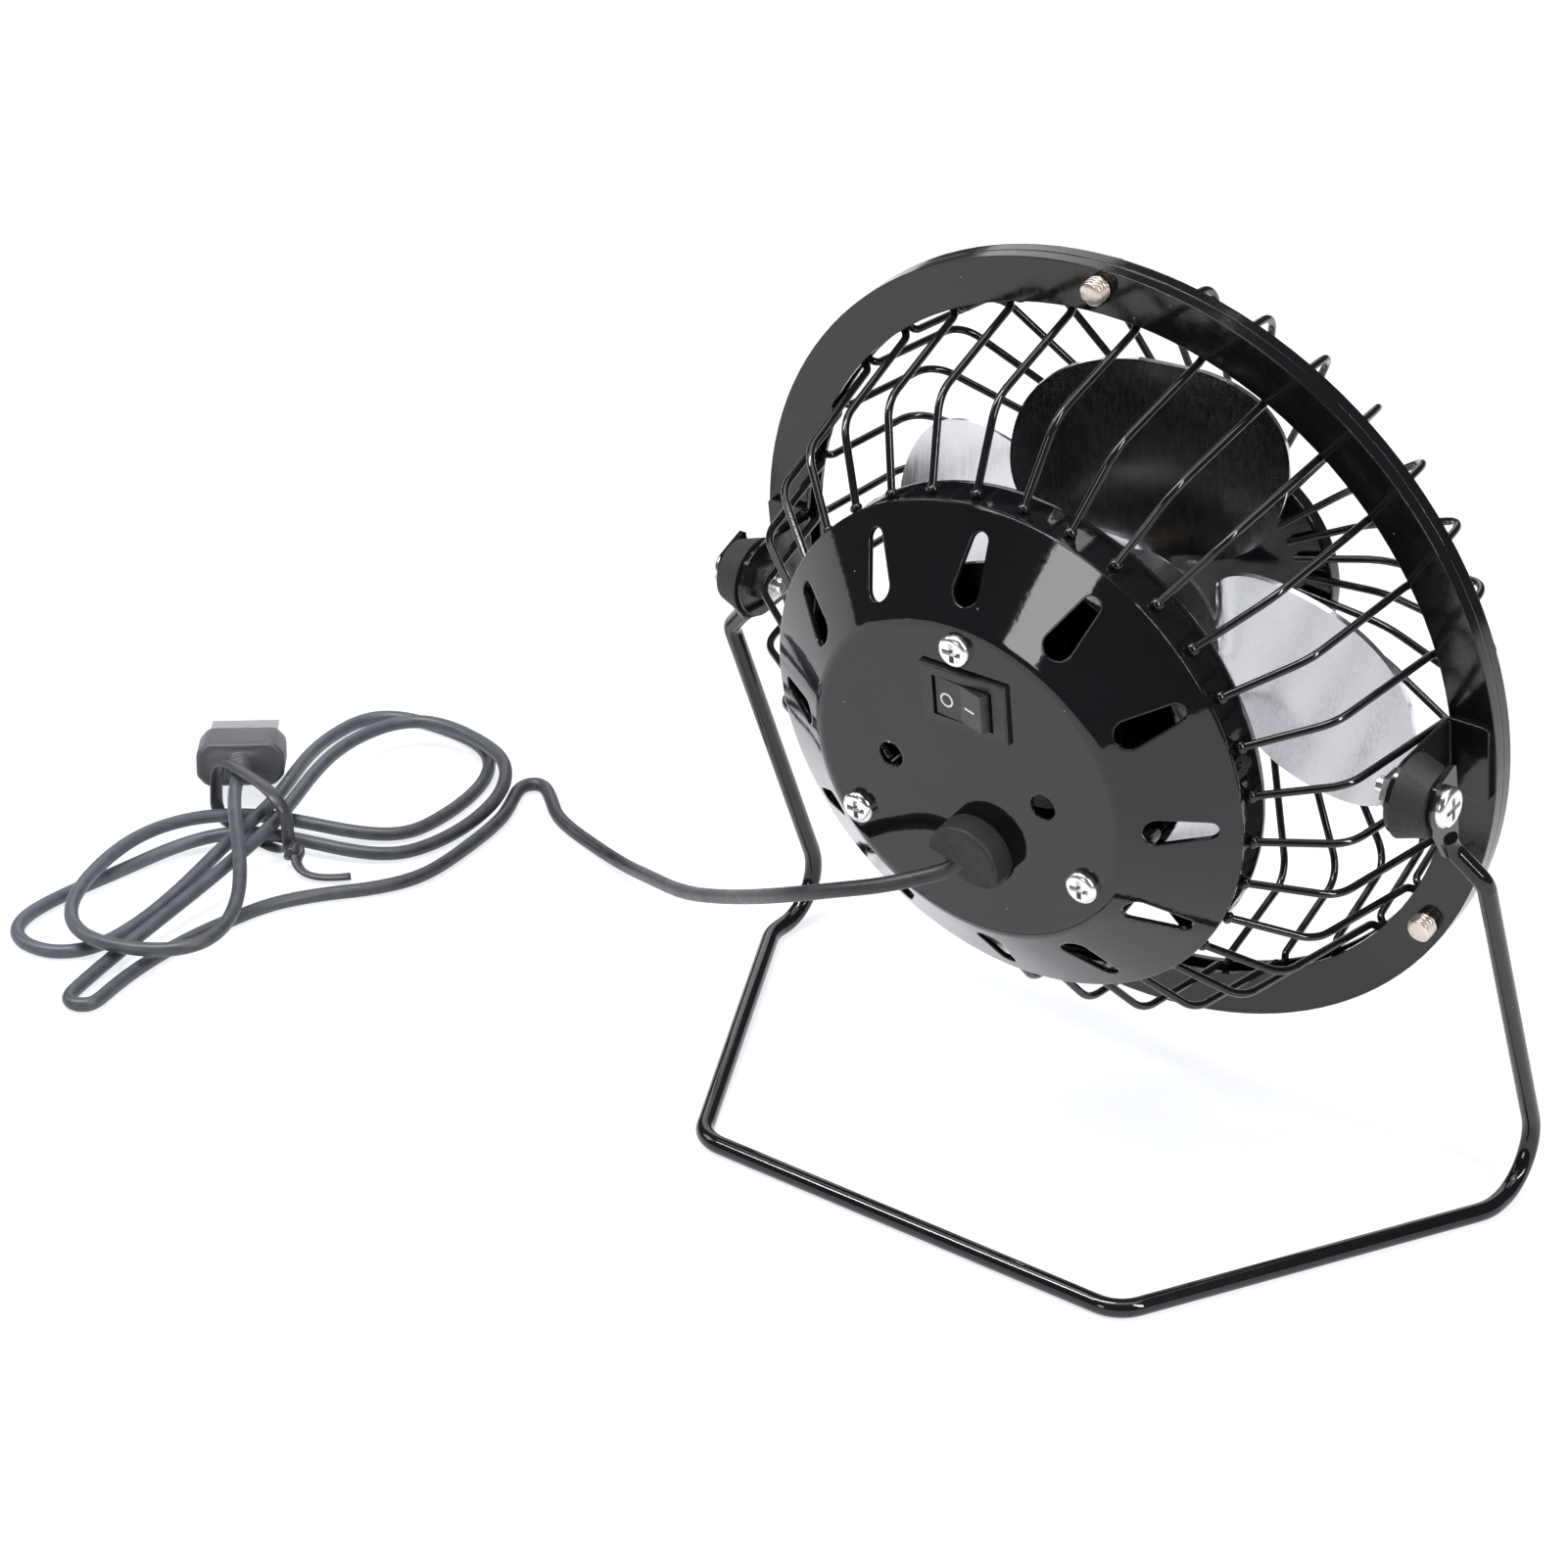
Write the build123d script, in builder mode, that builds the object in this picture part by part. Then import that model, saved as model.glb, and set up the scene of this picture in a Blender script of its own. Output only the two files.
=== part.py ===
"""Small metal desk fan: a tilting caged head on a bent rod stand, with its cord and plug.

Millimetres, +Z up, +Y is the way the air blows, +X is to the right seen from behind.
The origin is on the floor, under the middle of the tilt axis.
"""

from math import atan2, cos, degrees, pi, radians, sin, sqrt, tan
import os

from build123d import *

os.makedirs("parts", exist_ok=True)

# Head
PIVOT_HEIGHT = 77.0
HEAD_TILT = 9.0
PIVOT_ABOVE_AXIS = 1.3
SHEET = 0.8
FIT = 0.05
SEAT = 0.03
CROWN_SHARE = 0.6
RECESS_SHARE = 0.6

# Guard rings and wires
RING_R = 65.1
BAND_WIDTH = 7.3
RING_AHEAD = 12.3
RING_SEAM = 0.1
WIRE_DIA = 1.2
WIRE_COUNT = 32
WIRE_ROOT = 4.6
WIRE_TURN_R = 1.6
REAR_SHOULDER_INSET = 5.4
REAR_SHOULDER_BEHIND = 7.0
REAR_SHOULDER_BEND = 7.0
REAR_WELD_BEHIND = 14.6
FRONT_SHOULDER_INSET = 4.4
FRONT_SHOULDER_AHEAD = 34.2
FRONT_SHOULDER_BEND = 6.0
FRONT_FLAT_R = 30.0
FRONT_FLAT_BEND = 22.0
FRONT_END_R = 14.5
DISC_R = 19.9
DISC_AHEAD = 42.0
DISC_RIM = 2.4
DISC_EDGE_BEND = 0.5

# Screws that clamp the two rings
GUARD_SCREW_ANGLES = (90, 210.6, 329.4)
GUARD_SCREW_INSET = 3.1
GUARD_SCREW_DIA = 3.2
GUARD_SCREW_HEAD_DIA = 5.2
GUARD_SCREW_HEAD = 1.7
GUARD_SCREW_TIP = 2.2

# Motor housing
COVER_BEHIND = 27.4
COVER_FLAT_R = 26.6
COVER_RIM_R = 41.0
COVER_RIM_BEHIND = 17.6
COVER_LIP = 0.6
COVER_BEND = 3.0
SLOT_COUNT = 12
SLOT_LENGTH = 11.0
SLOT_INNER_WIDTH = 4.4
SLOT_OUTER_WIDTH = 2.8
CUP_INSET = 0.4
CUP_FRONT_BEHIND = 9.0
CUP_BEND = 2.4
CUP_VENT_INNER_R = 26.4
CUP_VENT_INSET = 3.0
CUP_SPOKE_ANGLES = (75, 195, 315)
CUP_SPOKE_WIDTH = 6.0
NOSE_R = 15.6
NOSE_AHEAD = 3.6
COVER_SCREW_ANGLES = (90, 210, 330)
COVER_SCREW_CIRCLE_R = 23.0
COVER_SCREW_DIA = 2.9
COVER_SCREW_HEAD_DIA = 5.2
COVER_SCREW_HEAD = 1.4
COVER_SCREW_LENGTH = 8.0
POST_DIA = 5.2
PLAIN_HOLE_X = 13.4
PLAIN_HOLE_DIA = 4.2

# Rocker switch
SWITCH_UP = 14.4
SWITCH_SHIFT = 1.0
BEZEL_LENGTH = 15.0
BEZEL_WIDTH = 10.0
BEZEL = 0.9
SWITCH_BODY_LENGTH = 13.4
SWITCH_BODY_WIDTH = 8.8
SWITCH_BODY_DEPTH = 11.0
ROCKER_OPENING = 10.4
ROCKER_POCKET_WIDTH = 6.8
ROCKER_POCKET_DEPTH = 6.0
ROCKER_HALF_LENGTH = 4.5
ROCKER_WIDTH = 6.4
ROCKER_PIVOT_DEPTH = 1.2
ROCKER_VALLEY = 1.3
ROCKER_VEE = 6.0
ROCKER_ROOT = 1.6
ROCKER_SWING = 10.0
ROCKER_PIN_DIA = 1.4
ROCKER_PIN_REACH = 0.6
TERMINAL_WIDTH = 4.0
TERMINAL = 0.7
TERMINAL_LENGTH = 3.2
TERMINAL_SPACING = 5.0

# Cable grommet
GROMMET_SHIFT = 1.1
GROMMET_DOWN = 12.1
GROMMET_DIA = 12.4
GROMMET_HEIGHT = 4.3
GROMMET_LOW_HEIGHT = 0.8
GROMMET_EXIT_ANGLE = 256.0
GROMMET_STEP = 0.2
GROMMET_NECK_DIA = 9.0
GROMMET_FLANGE_DIA = 11.0
GROMMET_FLANGE = 1.2
CORD_DIA = 2.4
CORD_RISE = 2.2
CORD_SIDE = 0.5
CORD_IN_GROMMET = 2.0
CORD_ROOM = 0.15

# Motor
MOTOR_DIA = 28.0
MOTOR_WALL = 1.0
MOTOR_LENGTH = 14.6
MOTOR_CAP = 1.6
MAGNET = 1.7
MAGNET_GAP = 12.0
MAGNET_LENGTH = 8.0
SHAFT_DIA = 2.0
SHAFT_AHEAD = 29.0
BEARING_DIA = 6.0
BEARING_LENGTH = 2.4
RUNNING_GAP = 0.02
POLE_COUNT = 3
POLE_WIDTH = 3.2
POLE_SHOE = 1.2
CORE_GAP = 0.4
CORE_DIA = 6.4
CORE_LENGTH = 5.0
WINDING_LENGTH = 6.6
WINDING_WIDTH = 2.0
COMMUTATOR_DIA = 4.4
COMMUTATOR_LENGTH = 2.2
BRUSH_WIDTH = 1.6
BRUSH_LENGTH = 3.0
MOTOR_SCREW_R = 8.0
MOTOR_SCREW_DIA = 2.5
MOTOR_SCREW_HEAD_DIA = 4.4
MOTOR_SCREW_HEAD = 1.4

# Fan
FAN_AHEAD = 21.0
BLADE_COUNT = 4
BLADE_REST_ANGLE = 86.0
BLADE = 0.8
BLADE_AT_PLATE = 0.5
BLADE_AT_NECK = 0.65
BLADE_STATIONS = (38, 62, 90, 115, 135, 150, 162, 171)
BLADE_PITCH = 13.0
BLADE_TIP_R = 46.8
BLADE_ROOT_R = 12.0
BLADE_WIDTH = 43.0
BLADE_SQUARENESS = 2.4
BLADE_SWEEP = 0.15
BLADE_CAMBER_R = 150.0
NECK_WIDTH = 19.0
FAN_PLATE_R = 13.0
HUB_DIA = 9.0
HUB_LENGTH = 12.0
HUB_SPIGOT_DIA = 6.0
HUB_SPIGOT_LENGTH = 4.0
FAN_WASHER_DIA = 10.0
FAN_WASHER = 1.2

# Tilt pivots, from the middle outwards
TAB_INSET = 7.0
BRACKET = 1.0
TAB_R = 6.0
FOOT_WIDTH = 13.0
BUSH_LENGTH = 4.6
BUSH_DIA = 13.0
BUSH_OUTER_DIA = 10.0
EYELET = 0.9
EYELET_R = 3.8
EYELET_TOP = 4.4
EYELET_TOP_BACK = -1.3
EYELET_TOP_FRONT = 4.5
EYELET_CORNER_R = 0.5
EYELET_NECK_R = 1.8
ROD_IN_EYELET = 2.0
PIVOT_SCREW_DIA = 2.9
PIVOT_SCREW_HEAD_DIA = 6.3
PIVOT_SCREW_HEAD = 1.5
PIVOT_NUT_FLATS = 5.5
PIVOT_NUT = 2.4
PIVOT_SCREW_PAST_NUT = 1.6

# Stand rod
ROD_DIA = 2.9
LEG_GAP = 4.6
LEG_FOOT_Y = 33.8
SIDE_TURN_Y = 18.0
REAR_HALF_WIDTH = 38.5
REAR_Y = -39.6
FLOOR_BEND_R = 8.0
SIDE_BEND_R = 9.0
REAR_BEND_R = 6.0
NECK_BEND_R = 4.0
NECK_LOW_DROP = 15.0
NECK_TOP_DROP = 9.0

# Cord: its lead's route over the floor, chosen by hand from where it leaves the grommet
BEND_SHARE = 0.45
LEAD_ROUTE = (
    (-2.1, -27.7, 56.0),
    (-4.8, -29.5, 55.0),
    (-10.1, -32.8, 53.1),
    (-18.3, -34.1, 50.0),
    (-30.0, -31.8, 44.0),
    (-49.0, -18.2, 31.0),
    (-70.0, -3.6, 17.9),
    (-89.2, 11.2, 8.0),
    (-98.8, 18.0, 3.4),
    (-108.0, 22.5, 1.3),
    (-123.0, 27.4, 1.3),
    (-131.0, 35.0, 1.3),
    (-134.0, 31.2, 1.3),
    (-129.4, 20.8, 1.3),
    (-127.6, 8.2, 1.3),
    (-126.9, -3.2, 1.3),
    (-130.6, -11.4, 1.3),
    (-136.8, -18.8, 1.3),
    (-141.2, -26.6, 1.3),
)

# Hank: figure-eight loops about a waist, in a frame along its length
HANK_WAIST = (-158.4, -12.2)
HANK_BEARING = 78.6
HANK_START = (-20.0, -20.0)
FOLD_REACH = 60.0
FOLD_HALF_WIDTH = 2.6
FOLD_BEARING = 206.0
LAYERS = {"floor": 1.3, "lifted": 4.8, "leaning": 5.6, "under": 2.9, "over": 6.1, "top": 10.2}

# Each far lobe: reach, half width, bearing, where its sides are widest, layers of side, tip and side
NEAR_RIGHT = (49.5, 18.5, -6.0, (0.80, 0.45), ("lifted", "lifted", "floor"))
NEAR_LEFT = (49.5, 8.5, 186.0, (0.40, 0.82), ("floor", "floor", "floor"))
FAR_RIGHT = (53.0, 18.5, 8.0, (0.83, 0.45), ("floor", "floor", "floor"))
FAR_LEFT = (46.0, 15.5, 203.0, (0.40, 0.80), ("lifted", "lifted", "leaning"))

# Each pass through the waist: place, layer and heading, before the lobe that follows it
WAIST_PASSES = (
    ((0.0, -5.2), "over", 27.0),
    ((0.8, -0.3), "under", 131.0),
    ((0.0, -0.9), "over", 23.0),
    ((4.8, 4.6), "under", 131.0),
    ((-1.5, 2.3), "top", 52.0),
)

# Tie round the waist
TIE_ALONG = 2.0
TIE_MIDDLE = 2.4
TIE_WIDTH = 22.0
TIE_HEIGHT = 12.9
TIE = 1.0
TIE_STRAP = 2.6
TIE_CORNER = 4.0
TIE_KNOT_DIA = 3.6
TIE_TAIL_DIA = 1.4
TIE_TAIL_ROUTE = ((2.0, -10.2, 3.0), (-1.0, -13.6, 1.2), (0.4, -17.4, 0.9), (6.0, -20.4, 0.9))

# Plug: a moulded grip on a flat metal shell, nose down on the floor
PLUG_HEADING = 52.0
PLUG_DROP = 13.5
PLUG_RELIEF_END = (3.6, 8.4, 9.8)
RELIEF_LENGTH = 7.0
RELIEF_DIA = 4.6
RELIEF_END_DIA = 3.4
GRIP_WIDTH = 15.4
GRIP_HEIGHT = 7.8
GRIP_LENGTH = 12.0
GRIP_CHAMFER = 1.8
SHELL_WIDTH = 12.0
SHELL_HEIGHT = 4.5
SHELL_LENGTH = 12.0
SHELL_WALL = 0.35
SHELL_IN_GRIP = 4.0
TONGUE = 1.7
TONGUE_SETBACK = 0.8

# The head's own frame: x to the right, y up, z to the rear, on the fan's axis
tilt = radians(HEAD_TILT)
HEAD = Plane(
    origin=(0, PIVOT_ABOVE_AXIS * sin(tilt), PIVOT_HEIGHT - PIVOT_ABOVE_AXIS * cos(tilt)),
    x_dir=(1, 0, 0),
    z_dir=(0, -cos(tilt), -sin(tilt)),
)
HEAD_SIDE = Plane(origin=HEAD.origin, x_dir=HEAD.x_dir, z_dir=-HEAD.y_dir)
FAN_AXIS = Axis(HEAD.origin, HEAD.z_dir)


def head_vector(x, y, behind):
    """A direction given in the head's frame."""
    return HEAD.x_dir * x + HEAD.y_dir * y + HEAD.z_dir * behind


def head_point(x, y, behind):
    """A point given in the head's frame."""
    return HEAD.origin + head_vector(x, y, behind)


def around(radius, angle, behind):
    """A point given by its radius and angle about the fan's axis."""
    return head_point(radius * cos(radians(angle)), radius * sin(radians(angle)), behind)


def head_plane(behind, radius=0, angle=0):
    """A plane across the fan's axis, facing the rear."""
    return Plane(origin=around(radius, angle, behind), x_dir=HEAD.x_dir, z_dir=HEAD.z_dir)


def radial_plane(angle):
    """The plane through the fan's axis at an angle: x outwards, y to the rear."""
    out = head_vector(cos(radians(angle)), sin(radians(angle)), 0)
    return Plane(origin=HEAD.origin, x_dir=out, z_dir=out.cross(HEAD.z_dir))


def pivot_plane(x):
    """A plane across the tilt axis: x ahead, y up, facing +X."""
    return Plane(origin=head_point(x, PIVOT_ABOVE_AXIS, 0), x_dir=-HEAD.z_dir, z_dir=HEAD.x_dir)


def on_circle(radius, angles):
    """Places at given angles on a circle about the fan's axis, in a plane across it."""
    return [(radius * cos(radians(angle)), radius * sin(radians(angle))) for angle in angles]


# Places out from the fan's axis
band_inner_r = RING_R - BAND_WIDTH
guard_screw_circle_r = RING_R - GUARD_SCREW_INSET
cup_r = COVER_RIM_R - CUP_INSET
cup_vent_outer_r = cup_r - CUP_VENT_INSET

# Places along the fan's axis, to the rear of the tilt axis
ring_stack = 2 * SHEET + 2 * WIRE_DIA + 3 * SEAT
ring_rear = -RING_AHEAD
ring_front = ring_rear - ring_stack
ring_lip = (ring_stack - RING_SEAM) / 2
rear_wire_layer = ring_rear - SHEET - SEAT - WIRE_DIA / 2
front_wire_layer = rear_wire_layer - WIRE_DIA - SEAT
disc_back = -DISC_AHEAD
cup_rim = COVER_RIM_BEHIND - COVER_LIP
nose_inside = SHEET - NOSE_AHEAD
cover_inside = COVER_BEHIND - SHEET

# Places along the tilt axis
tab_face_x = RING_R - TAB_INSET
eyelet_inside = tab_face_x + BUSH_LENGTH
eyelet_outside = eyelet_inside + EYELET
eyelet_middle = eyelet_inside + EYELET / 2
pivot_nut_end = tab_face_x - BRACKET - PIVOT_NUT
leg_half_width = eyelet_outside + LEG_GAP

# Stand rod, one bent piece with its ends flattened into eyelets
rod_r = ROD_DIA / 2
leg_line = Vector(0, LEG_FOOT_Y, rod_r - PIVOT_HEIGHT).normalized()


def leg_point(x, drop):
    """A point on a leg's line, a distance down from the tilt axis."""
    return Vector(x, 0, PIVOT_HEIGHT) + leg_line * drop


right_rod = [
    leg_point(eyelet_middle, NECK_TOP_DROP - ROD_IN_EYELET),
    leg_point(eyelet_middle, NECK_TOP_DROP),
    leg_point(leg_half_width, NECK_LOW_DROP),
    Vector(leg_half_width, LEG_FOOT_Y, rod_r),
    Vector(leg_half_width, SIDE_TURN_Y, rod_r),
    Vector(REAR_HALF_WIDTH, REAR_Y, rod_r),
]
left_rod = [Vector(-point.X, point.Y, point.Z) for point in reversed(right_rod)]
right_bends = [NECK_BEND_R, NECK_BEND_R, FLOOR_BEND_R, SIDE_BEND_R, REAR_BEND_R]
eyelet_corners = [
    (EYELET_TOP_BACK + EYELET_CORNER_R, EYELET_TOP - EYELET_CORNER_R),
    (EYELET_TOP_FRONT - EYELET_CORNER_R, EYELET_TOP - EYELET_CORNER_R),
]

with BuildPart() as stand_rod:
    with BuildLine() as rod_path:
        FilletPolyline(right_rod + left_rod, radius=right_bends + right_bends[::-1])
    with BuildSketch(Plane(origin=rod_path.line @ 0, z_dir=rod_path.line % 0)):
        Circle(rod_r)
    sweep()
    for side in (-1, 1):
        eyelet_face = (side * eyelet_inside, 0, PIVOT_HEIGHT)
        eyelet_plane = Plane(origin=eyelet_face, x_dir=(0, -leg_line.Z, leg_line.Y), z_dir=(1, 0, 0))
        with BuildSketch(eyelet_plane):
            Circle(EYELET_R)
            with Locations(*eyelet_corners):
                Circle(EYELET_CORNER_R)
            with Locations((0, -NECK_TOP_DROP)):
                Circle(EYELET_NECK_R)
            make_hull()
        extrude(amount=side * EYELET)
        with BuildSketch(eyelet_plane):
            Circle(PIVOT_SCREW_DIA / 2 + FIT)
        extrude(amount=side * EYELET, mode=Mode.SUBTRACT)
stand_rod.part.label = "stand_rod"
export_step(stand_rod.part, "parts/stand_rod.step")

# Tilt pivots: bracket on the ring, rubber bush, screw and nut on each side
for side, hand in ((-1, "left"), (1, "right")):
    with BuildPart() as pivot_bracket:
        with BuildSketch(pivot_plane(side * tab_face_x)):
            Circle(TAB_R)
            with Locations((RING_AHEAD / 2, 0)):
                Rectangle(RING_AHEAD, 2 * TAB_R)
            Circle(PIVOT_SCREW_DIA / 2 + FIT, mode=Mode.SUBTRACT)
        extrude(amount=-side * BRACKET)
        foot_from = tab_face_x - BRACKET
        foot_to = RING_R - SHEET
        with BuildSketch(head_plane(ring_rear)):
            with Locations((side * (foot_from + foot_to) / 2, PIVOT_ABOVE_AXIS)):
                RectangleRounded(foot_to - foot_from, FOOT_WIDTH, BRACKET)
        extrude(amount=BRACKET)
    pivot_bracket.part.label = f"pivot_bracket_{hand}"
    export_step(pivot_bracket.part, f"parts/pivot_bracket_{hand}.step")

    with BuildPart() as pivot_bush:
        with BuildSketch(pivot_plane(side * tab_face_x)):
            Circle(BUSH_DIA / 2)
        with BuildSketch(pivot_plane(side * eyelet_inside)):
            Circle(BUSH_OUTER_DIA / 2)
        loft()
        with BuildSketch(pivot_plane(side * tab_face_x)):
            Circle(PIVOT_SCREW_DIA / 2 + FIT)
        extrude(amount=side * BUSH_LENGTH, mode=Mode.SUBTRACT)
    pivot_bush.part.label = f"pivot_bush_{hand}"
    export_step(pivot_bush.part, f"parts/pivot_bush_{hand}.step")

    with BuildPart() as pivot_screw:
        with BuildSketch(pivot_plane(side * eyelet_outside)):
            Circle(PIVOT_SCREW_HEAD_DIA / 2)
        extrude(amount=side * PIVOT_SCREW_HEAD)
        crown = pivot_screw.edges().sort_by(Axis.X)[-1 if side > 0 else 0]
        fillet(crown, PIVOT_SCREW_HEAD * CROWN_SHARE)
        with BuildSketch(pivot_plane(side * (eyelet_outside + PIVOT_SCREW_HEAD))):
            Rectangle(PIVOT_SCREW_HEAD_DIA * RECESS_SHARE, SHEET)
            Rectangle(SHEET, PIVOT_SCREW_HEAD_DIA * RECESS_SHARE)
        extrude(amount=-side * PIVOT_SCREW_HEAD / 2, mode=Mode.SUBTRACT)
        with BuildSketch(pivot_plane(side * eyelet_outside)):
            Circle(PIVOT_SCREW_DIA / 2)
        extrude(amount=-side * (eyelet_outside - pivot_nut_end + PIVOT_SCREW_PAST_NUT))
    pivot_screw.part.label = f"pivot_screw_{hand}"
    export_step(pivot_screw.part, f"parts/pivot_screw_{hand}.step")

    with BuildPart() as pivot_nut:
        with BuildSketch(pivot_plane(side * (tab_face_x - BRACKET))):
            RegularPolygon(PIVOT_NUT_FLATS / 2, 6, major_radius=False)
            Circle(PIVOT_SCREW_DIA / 2 + FIT, mode=Mode.SUBTRACT)
        extrude(amount=-side * PIVOT_NUT)
    pivot_nut.part.label = f"pivot_nut_{hand}"
    export_step(pivot_nut.part, f"parts/pivot_nut_{hand}.step")

# Guard rings, two lipped bands that close on the wire ends
guard_screw_hole_r = GUARD_SCREW_DIA / 2 + FIT

with BuildPart() as rear_ring:
    with BuildSketch(HEAD_SIDE):
        with BuildLine():
            Polyline(
                (band_inner_r, ring_rear),
                (RING_R, ring_rear),
                (RING_R, ring_rear - ring_lip),
                (RING_R - SHEET, ring_rear - ring_lip),
                (RING_R - SHEET, ring_rear - SHEET),
                (band_inner_r, ring_rear - SHEET),
                close=True,
            )
        make_face()
    revolve(axis=FAN_AXIS)
    with BuildSketch(head_plane(ring_rear)):
        with Locations(*on_circle(guard_screw_circle_r, GUARD_SCREW_ANGLES)):
            Circle(guard_screw_hole_r)
    extrude(amount=-SHEET, mode=Mode.SUBTRACT)
rear_ring.part.label = "rear_ring"
export_step(rear_ring.part, "parts/rear_ring.step")

with BuildPart() as front_ring:
    with BuildSketch(HEAD_SIDE):
        with BuildLine():
            Polyline(
                (band_inner_r, ring_front),
                (RING_R, ring_front),
                (RING_R, ring_front + ring_lip),
                (RING_R - SHEET, ring_front + ring_lip),
                (RING_R - SHEET, ring_front + SHEET),
                (band_inner_r, ring_front + SHEET),
                close=True,
            )
        make_face()
    revolve(axis=FAN_AXIS)
    with BuildSketch(head_plane(ring_front)):
        with Locations(*on_circle(guard_screw_circle_r, GUARD_SCREW_ANGLES)):
            Circle(guard_screw_hole_r)
    extrude(amount=SHEET, mode=Mode.SUBTRACT)
front_ring.part.label = "front_ring"
export_step(front_ring.part, "parts/front_ring.step")

# Guard wires, each bent in the plane of the fan's axis
wire_step = 360 / WIRE_COUNT
wire_root_r = band_inner_r + WIRE_ROOT
wire_turn_r = band_inner_r - WIRE_DIA

with BuildPart() as rear_wire:
    with BuildLine(radial_plane(wire_step / 2)) as wire_path:
        FilletPolyline(
            (wire_root_r, rear_wire_layer),
            (wire_turn_r, rear_wire_layer),
            (band_inner_r - REAR_SHOULDER_INSET, REAR_SHOULDER_BEHIND),
            (cup_r + WIRE_DIA / 2, REAR_WELD_BEHIND),
            radius=[WIRE_TURN_R, REAR_SHOULDER_BEND],
        )
    with BuildSketch(Plane(origin=wire_path.line @ 0, z_dir=wire_path.line % 0)):
        Circle(WIRE_DIA / 2)
    sweep()

with BuildPart() as rear_wires:
    add([rear_wire.part.rotate(FAN_AXIS, index * wire_step) for index in range(WIRE_COUNT)])
rear_wires.part.label = "rear_wires"
export_step(rear_wires.part, "parts/rear_wires.step")

disc_wire_layer = disc_back + SEAT + WIRE_DIA / 2

with BuildPart() as front_wire:
    with BuildLine(radial_plane(wire_step / 2)) as wire_path:
        FilletPolyline(
            (wire_root_r, front_wire_layer),
            (wire_turn_r, front_wire_layer),
            (band_inner_r - FRONT_SHOULDER_INSET, -FRONT_SHOULDER_AHEAD),
            (FRONT_FLAT_R, disc_wire_layer),
            (FRONT_END_R, disc_wire_layer),
            radius=[WIRE_TURN_R, FRONT_SHOULDER_BEND, FRONT_FLAT_BEND],
        )
    with BuildSketch(Plane(origin=wire_path.line @ 0, z_dir=wire_path.line % 0)):
        Circle(WIRE_DIA / 2)
    sweep()

with BuildPart() as front_wires:
    add([front_wire.part.rotate(FAN_AXIS, index * wire_step) for index in range(WIRE_COUNT)])
front_wires.part.label = "front_wires"
export_step(front_wires.part, "parts/front_wires.step")

with BuildPart() as front_disc:
    with BuildSketch(head_plane(disc_back)):
        Circle(DISC_R)
    extrude(amount=-DISC_RIM)
    with BuildSketch(head_plane(disc_back - SHEET)):
        Circle(DISC_R - SHEET)
    extrude(amount=-DISC_RIM, mode=Mode.SUBTRACT)
    back_edge = front_disc.edges().filter_by(GeomType.CIRCLE).sort_by(FAN_AXIS)[-1]
    fillet(back_edge, DISC_EDGE_BEND)
front_disc.part.label = "front_disc"
export_step(front_disc.part, "parts/front_disc.step")

for number, angle in enumerate(GUARD_SCREW_ANGLES, start=1):
    with BuildPart() as guard_screw:
        with BuildSketch(head_plane(ring_front, guard_screw_circle_r, angle)):
            Circle(GUARD_SCREW_HEAD_DIA / 2)
        extrude(amount=-GUARD_SCREW_HEAD)
        crown = guard_screw.edges().filter_by(GeomType.CIRCLE).sort_by(FAN_AXIS)[0]
        fillet(crown, GUARD_SCREW_HEAD * CROWN_SHARE)
        with BuildSketch(head_plane(ring_front - GUARD_SCREW_HEAD, guard_screw_circle_r, angle)):
            Rectangle(GUARD_SCREW_HEAD_DIA * RECESS_SHARE, SHEET)
            Rectangle(SHEET, GUARD_SCREW_HEAD_DIA * RECESS_SHARE)
        extrude(amount=GUARD_SCREW_HEAD / 2, mode=Mode.SUBTRACT)
        with BuildSketch(head_plane(ring_front, guard_screw_circle_r, angle)):
            Circle(GUARD_SCREW_DIA / 2)
        extrude(amount=ring_stack + GUARD_SCREW_TIP)
    guard_screw.part.label = f"guard_screw_{number}"
    export_step(guard_screw.part, f"parts/guard_screw_{number}.step")

# Motor housing: a cup that carries the motor and the guard wires, closed by the rear cover
cover_screw_hole_r = COVER_SCREW_DIA / 2 + FIT

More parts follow.
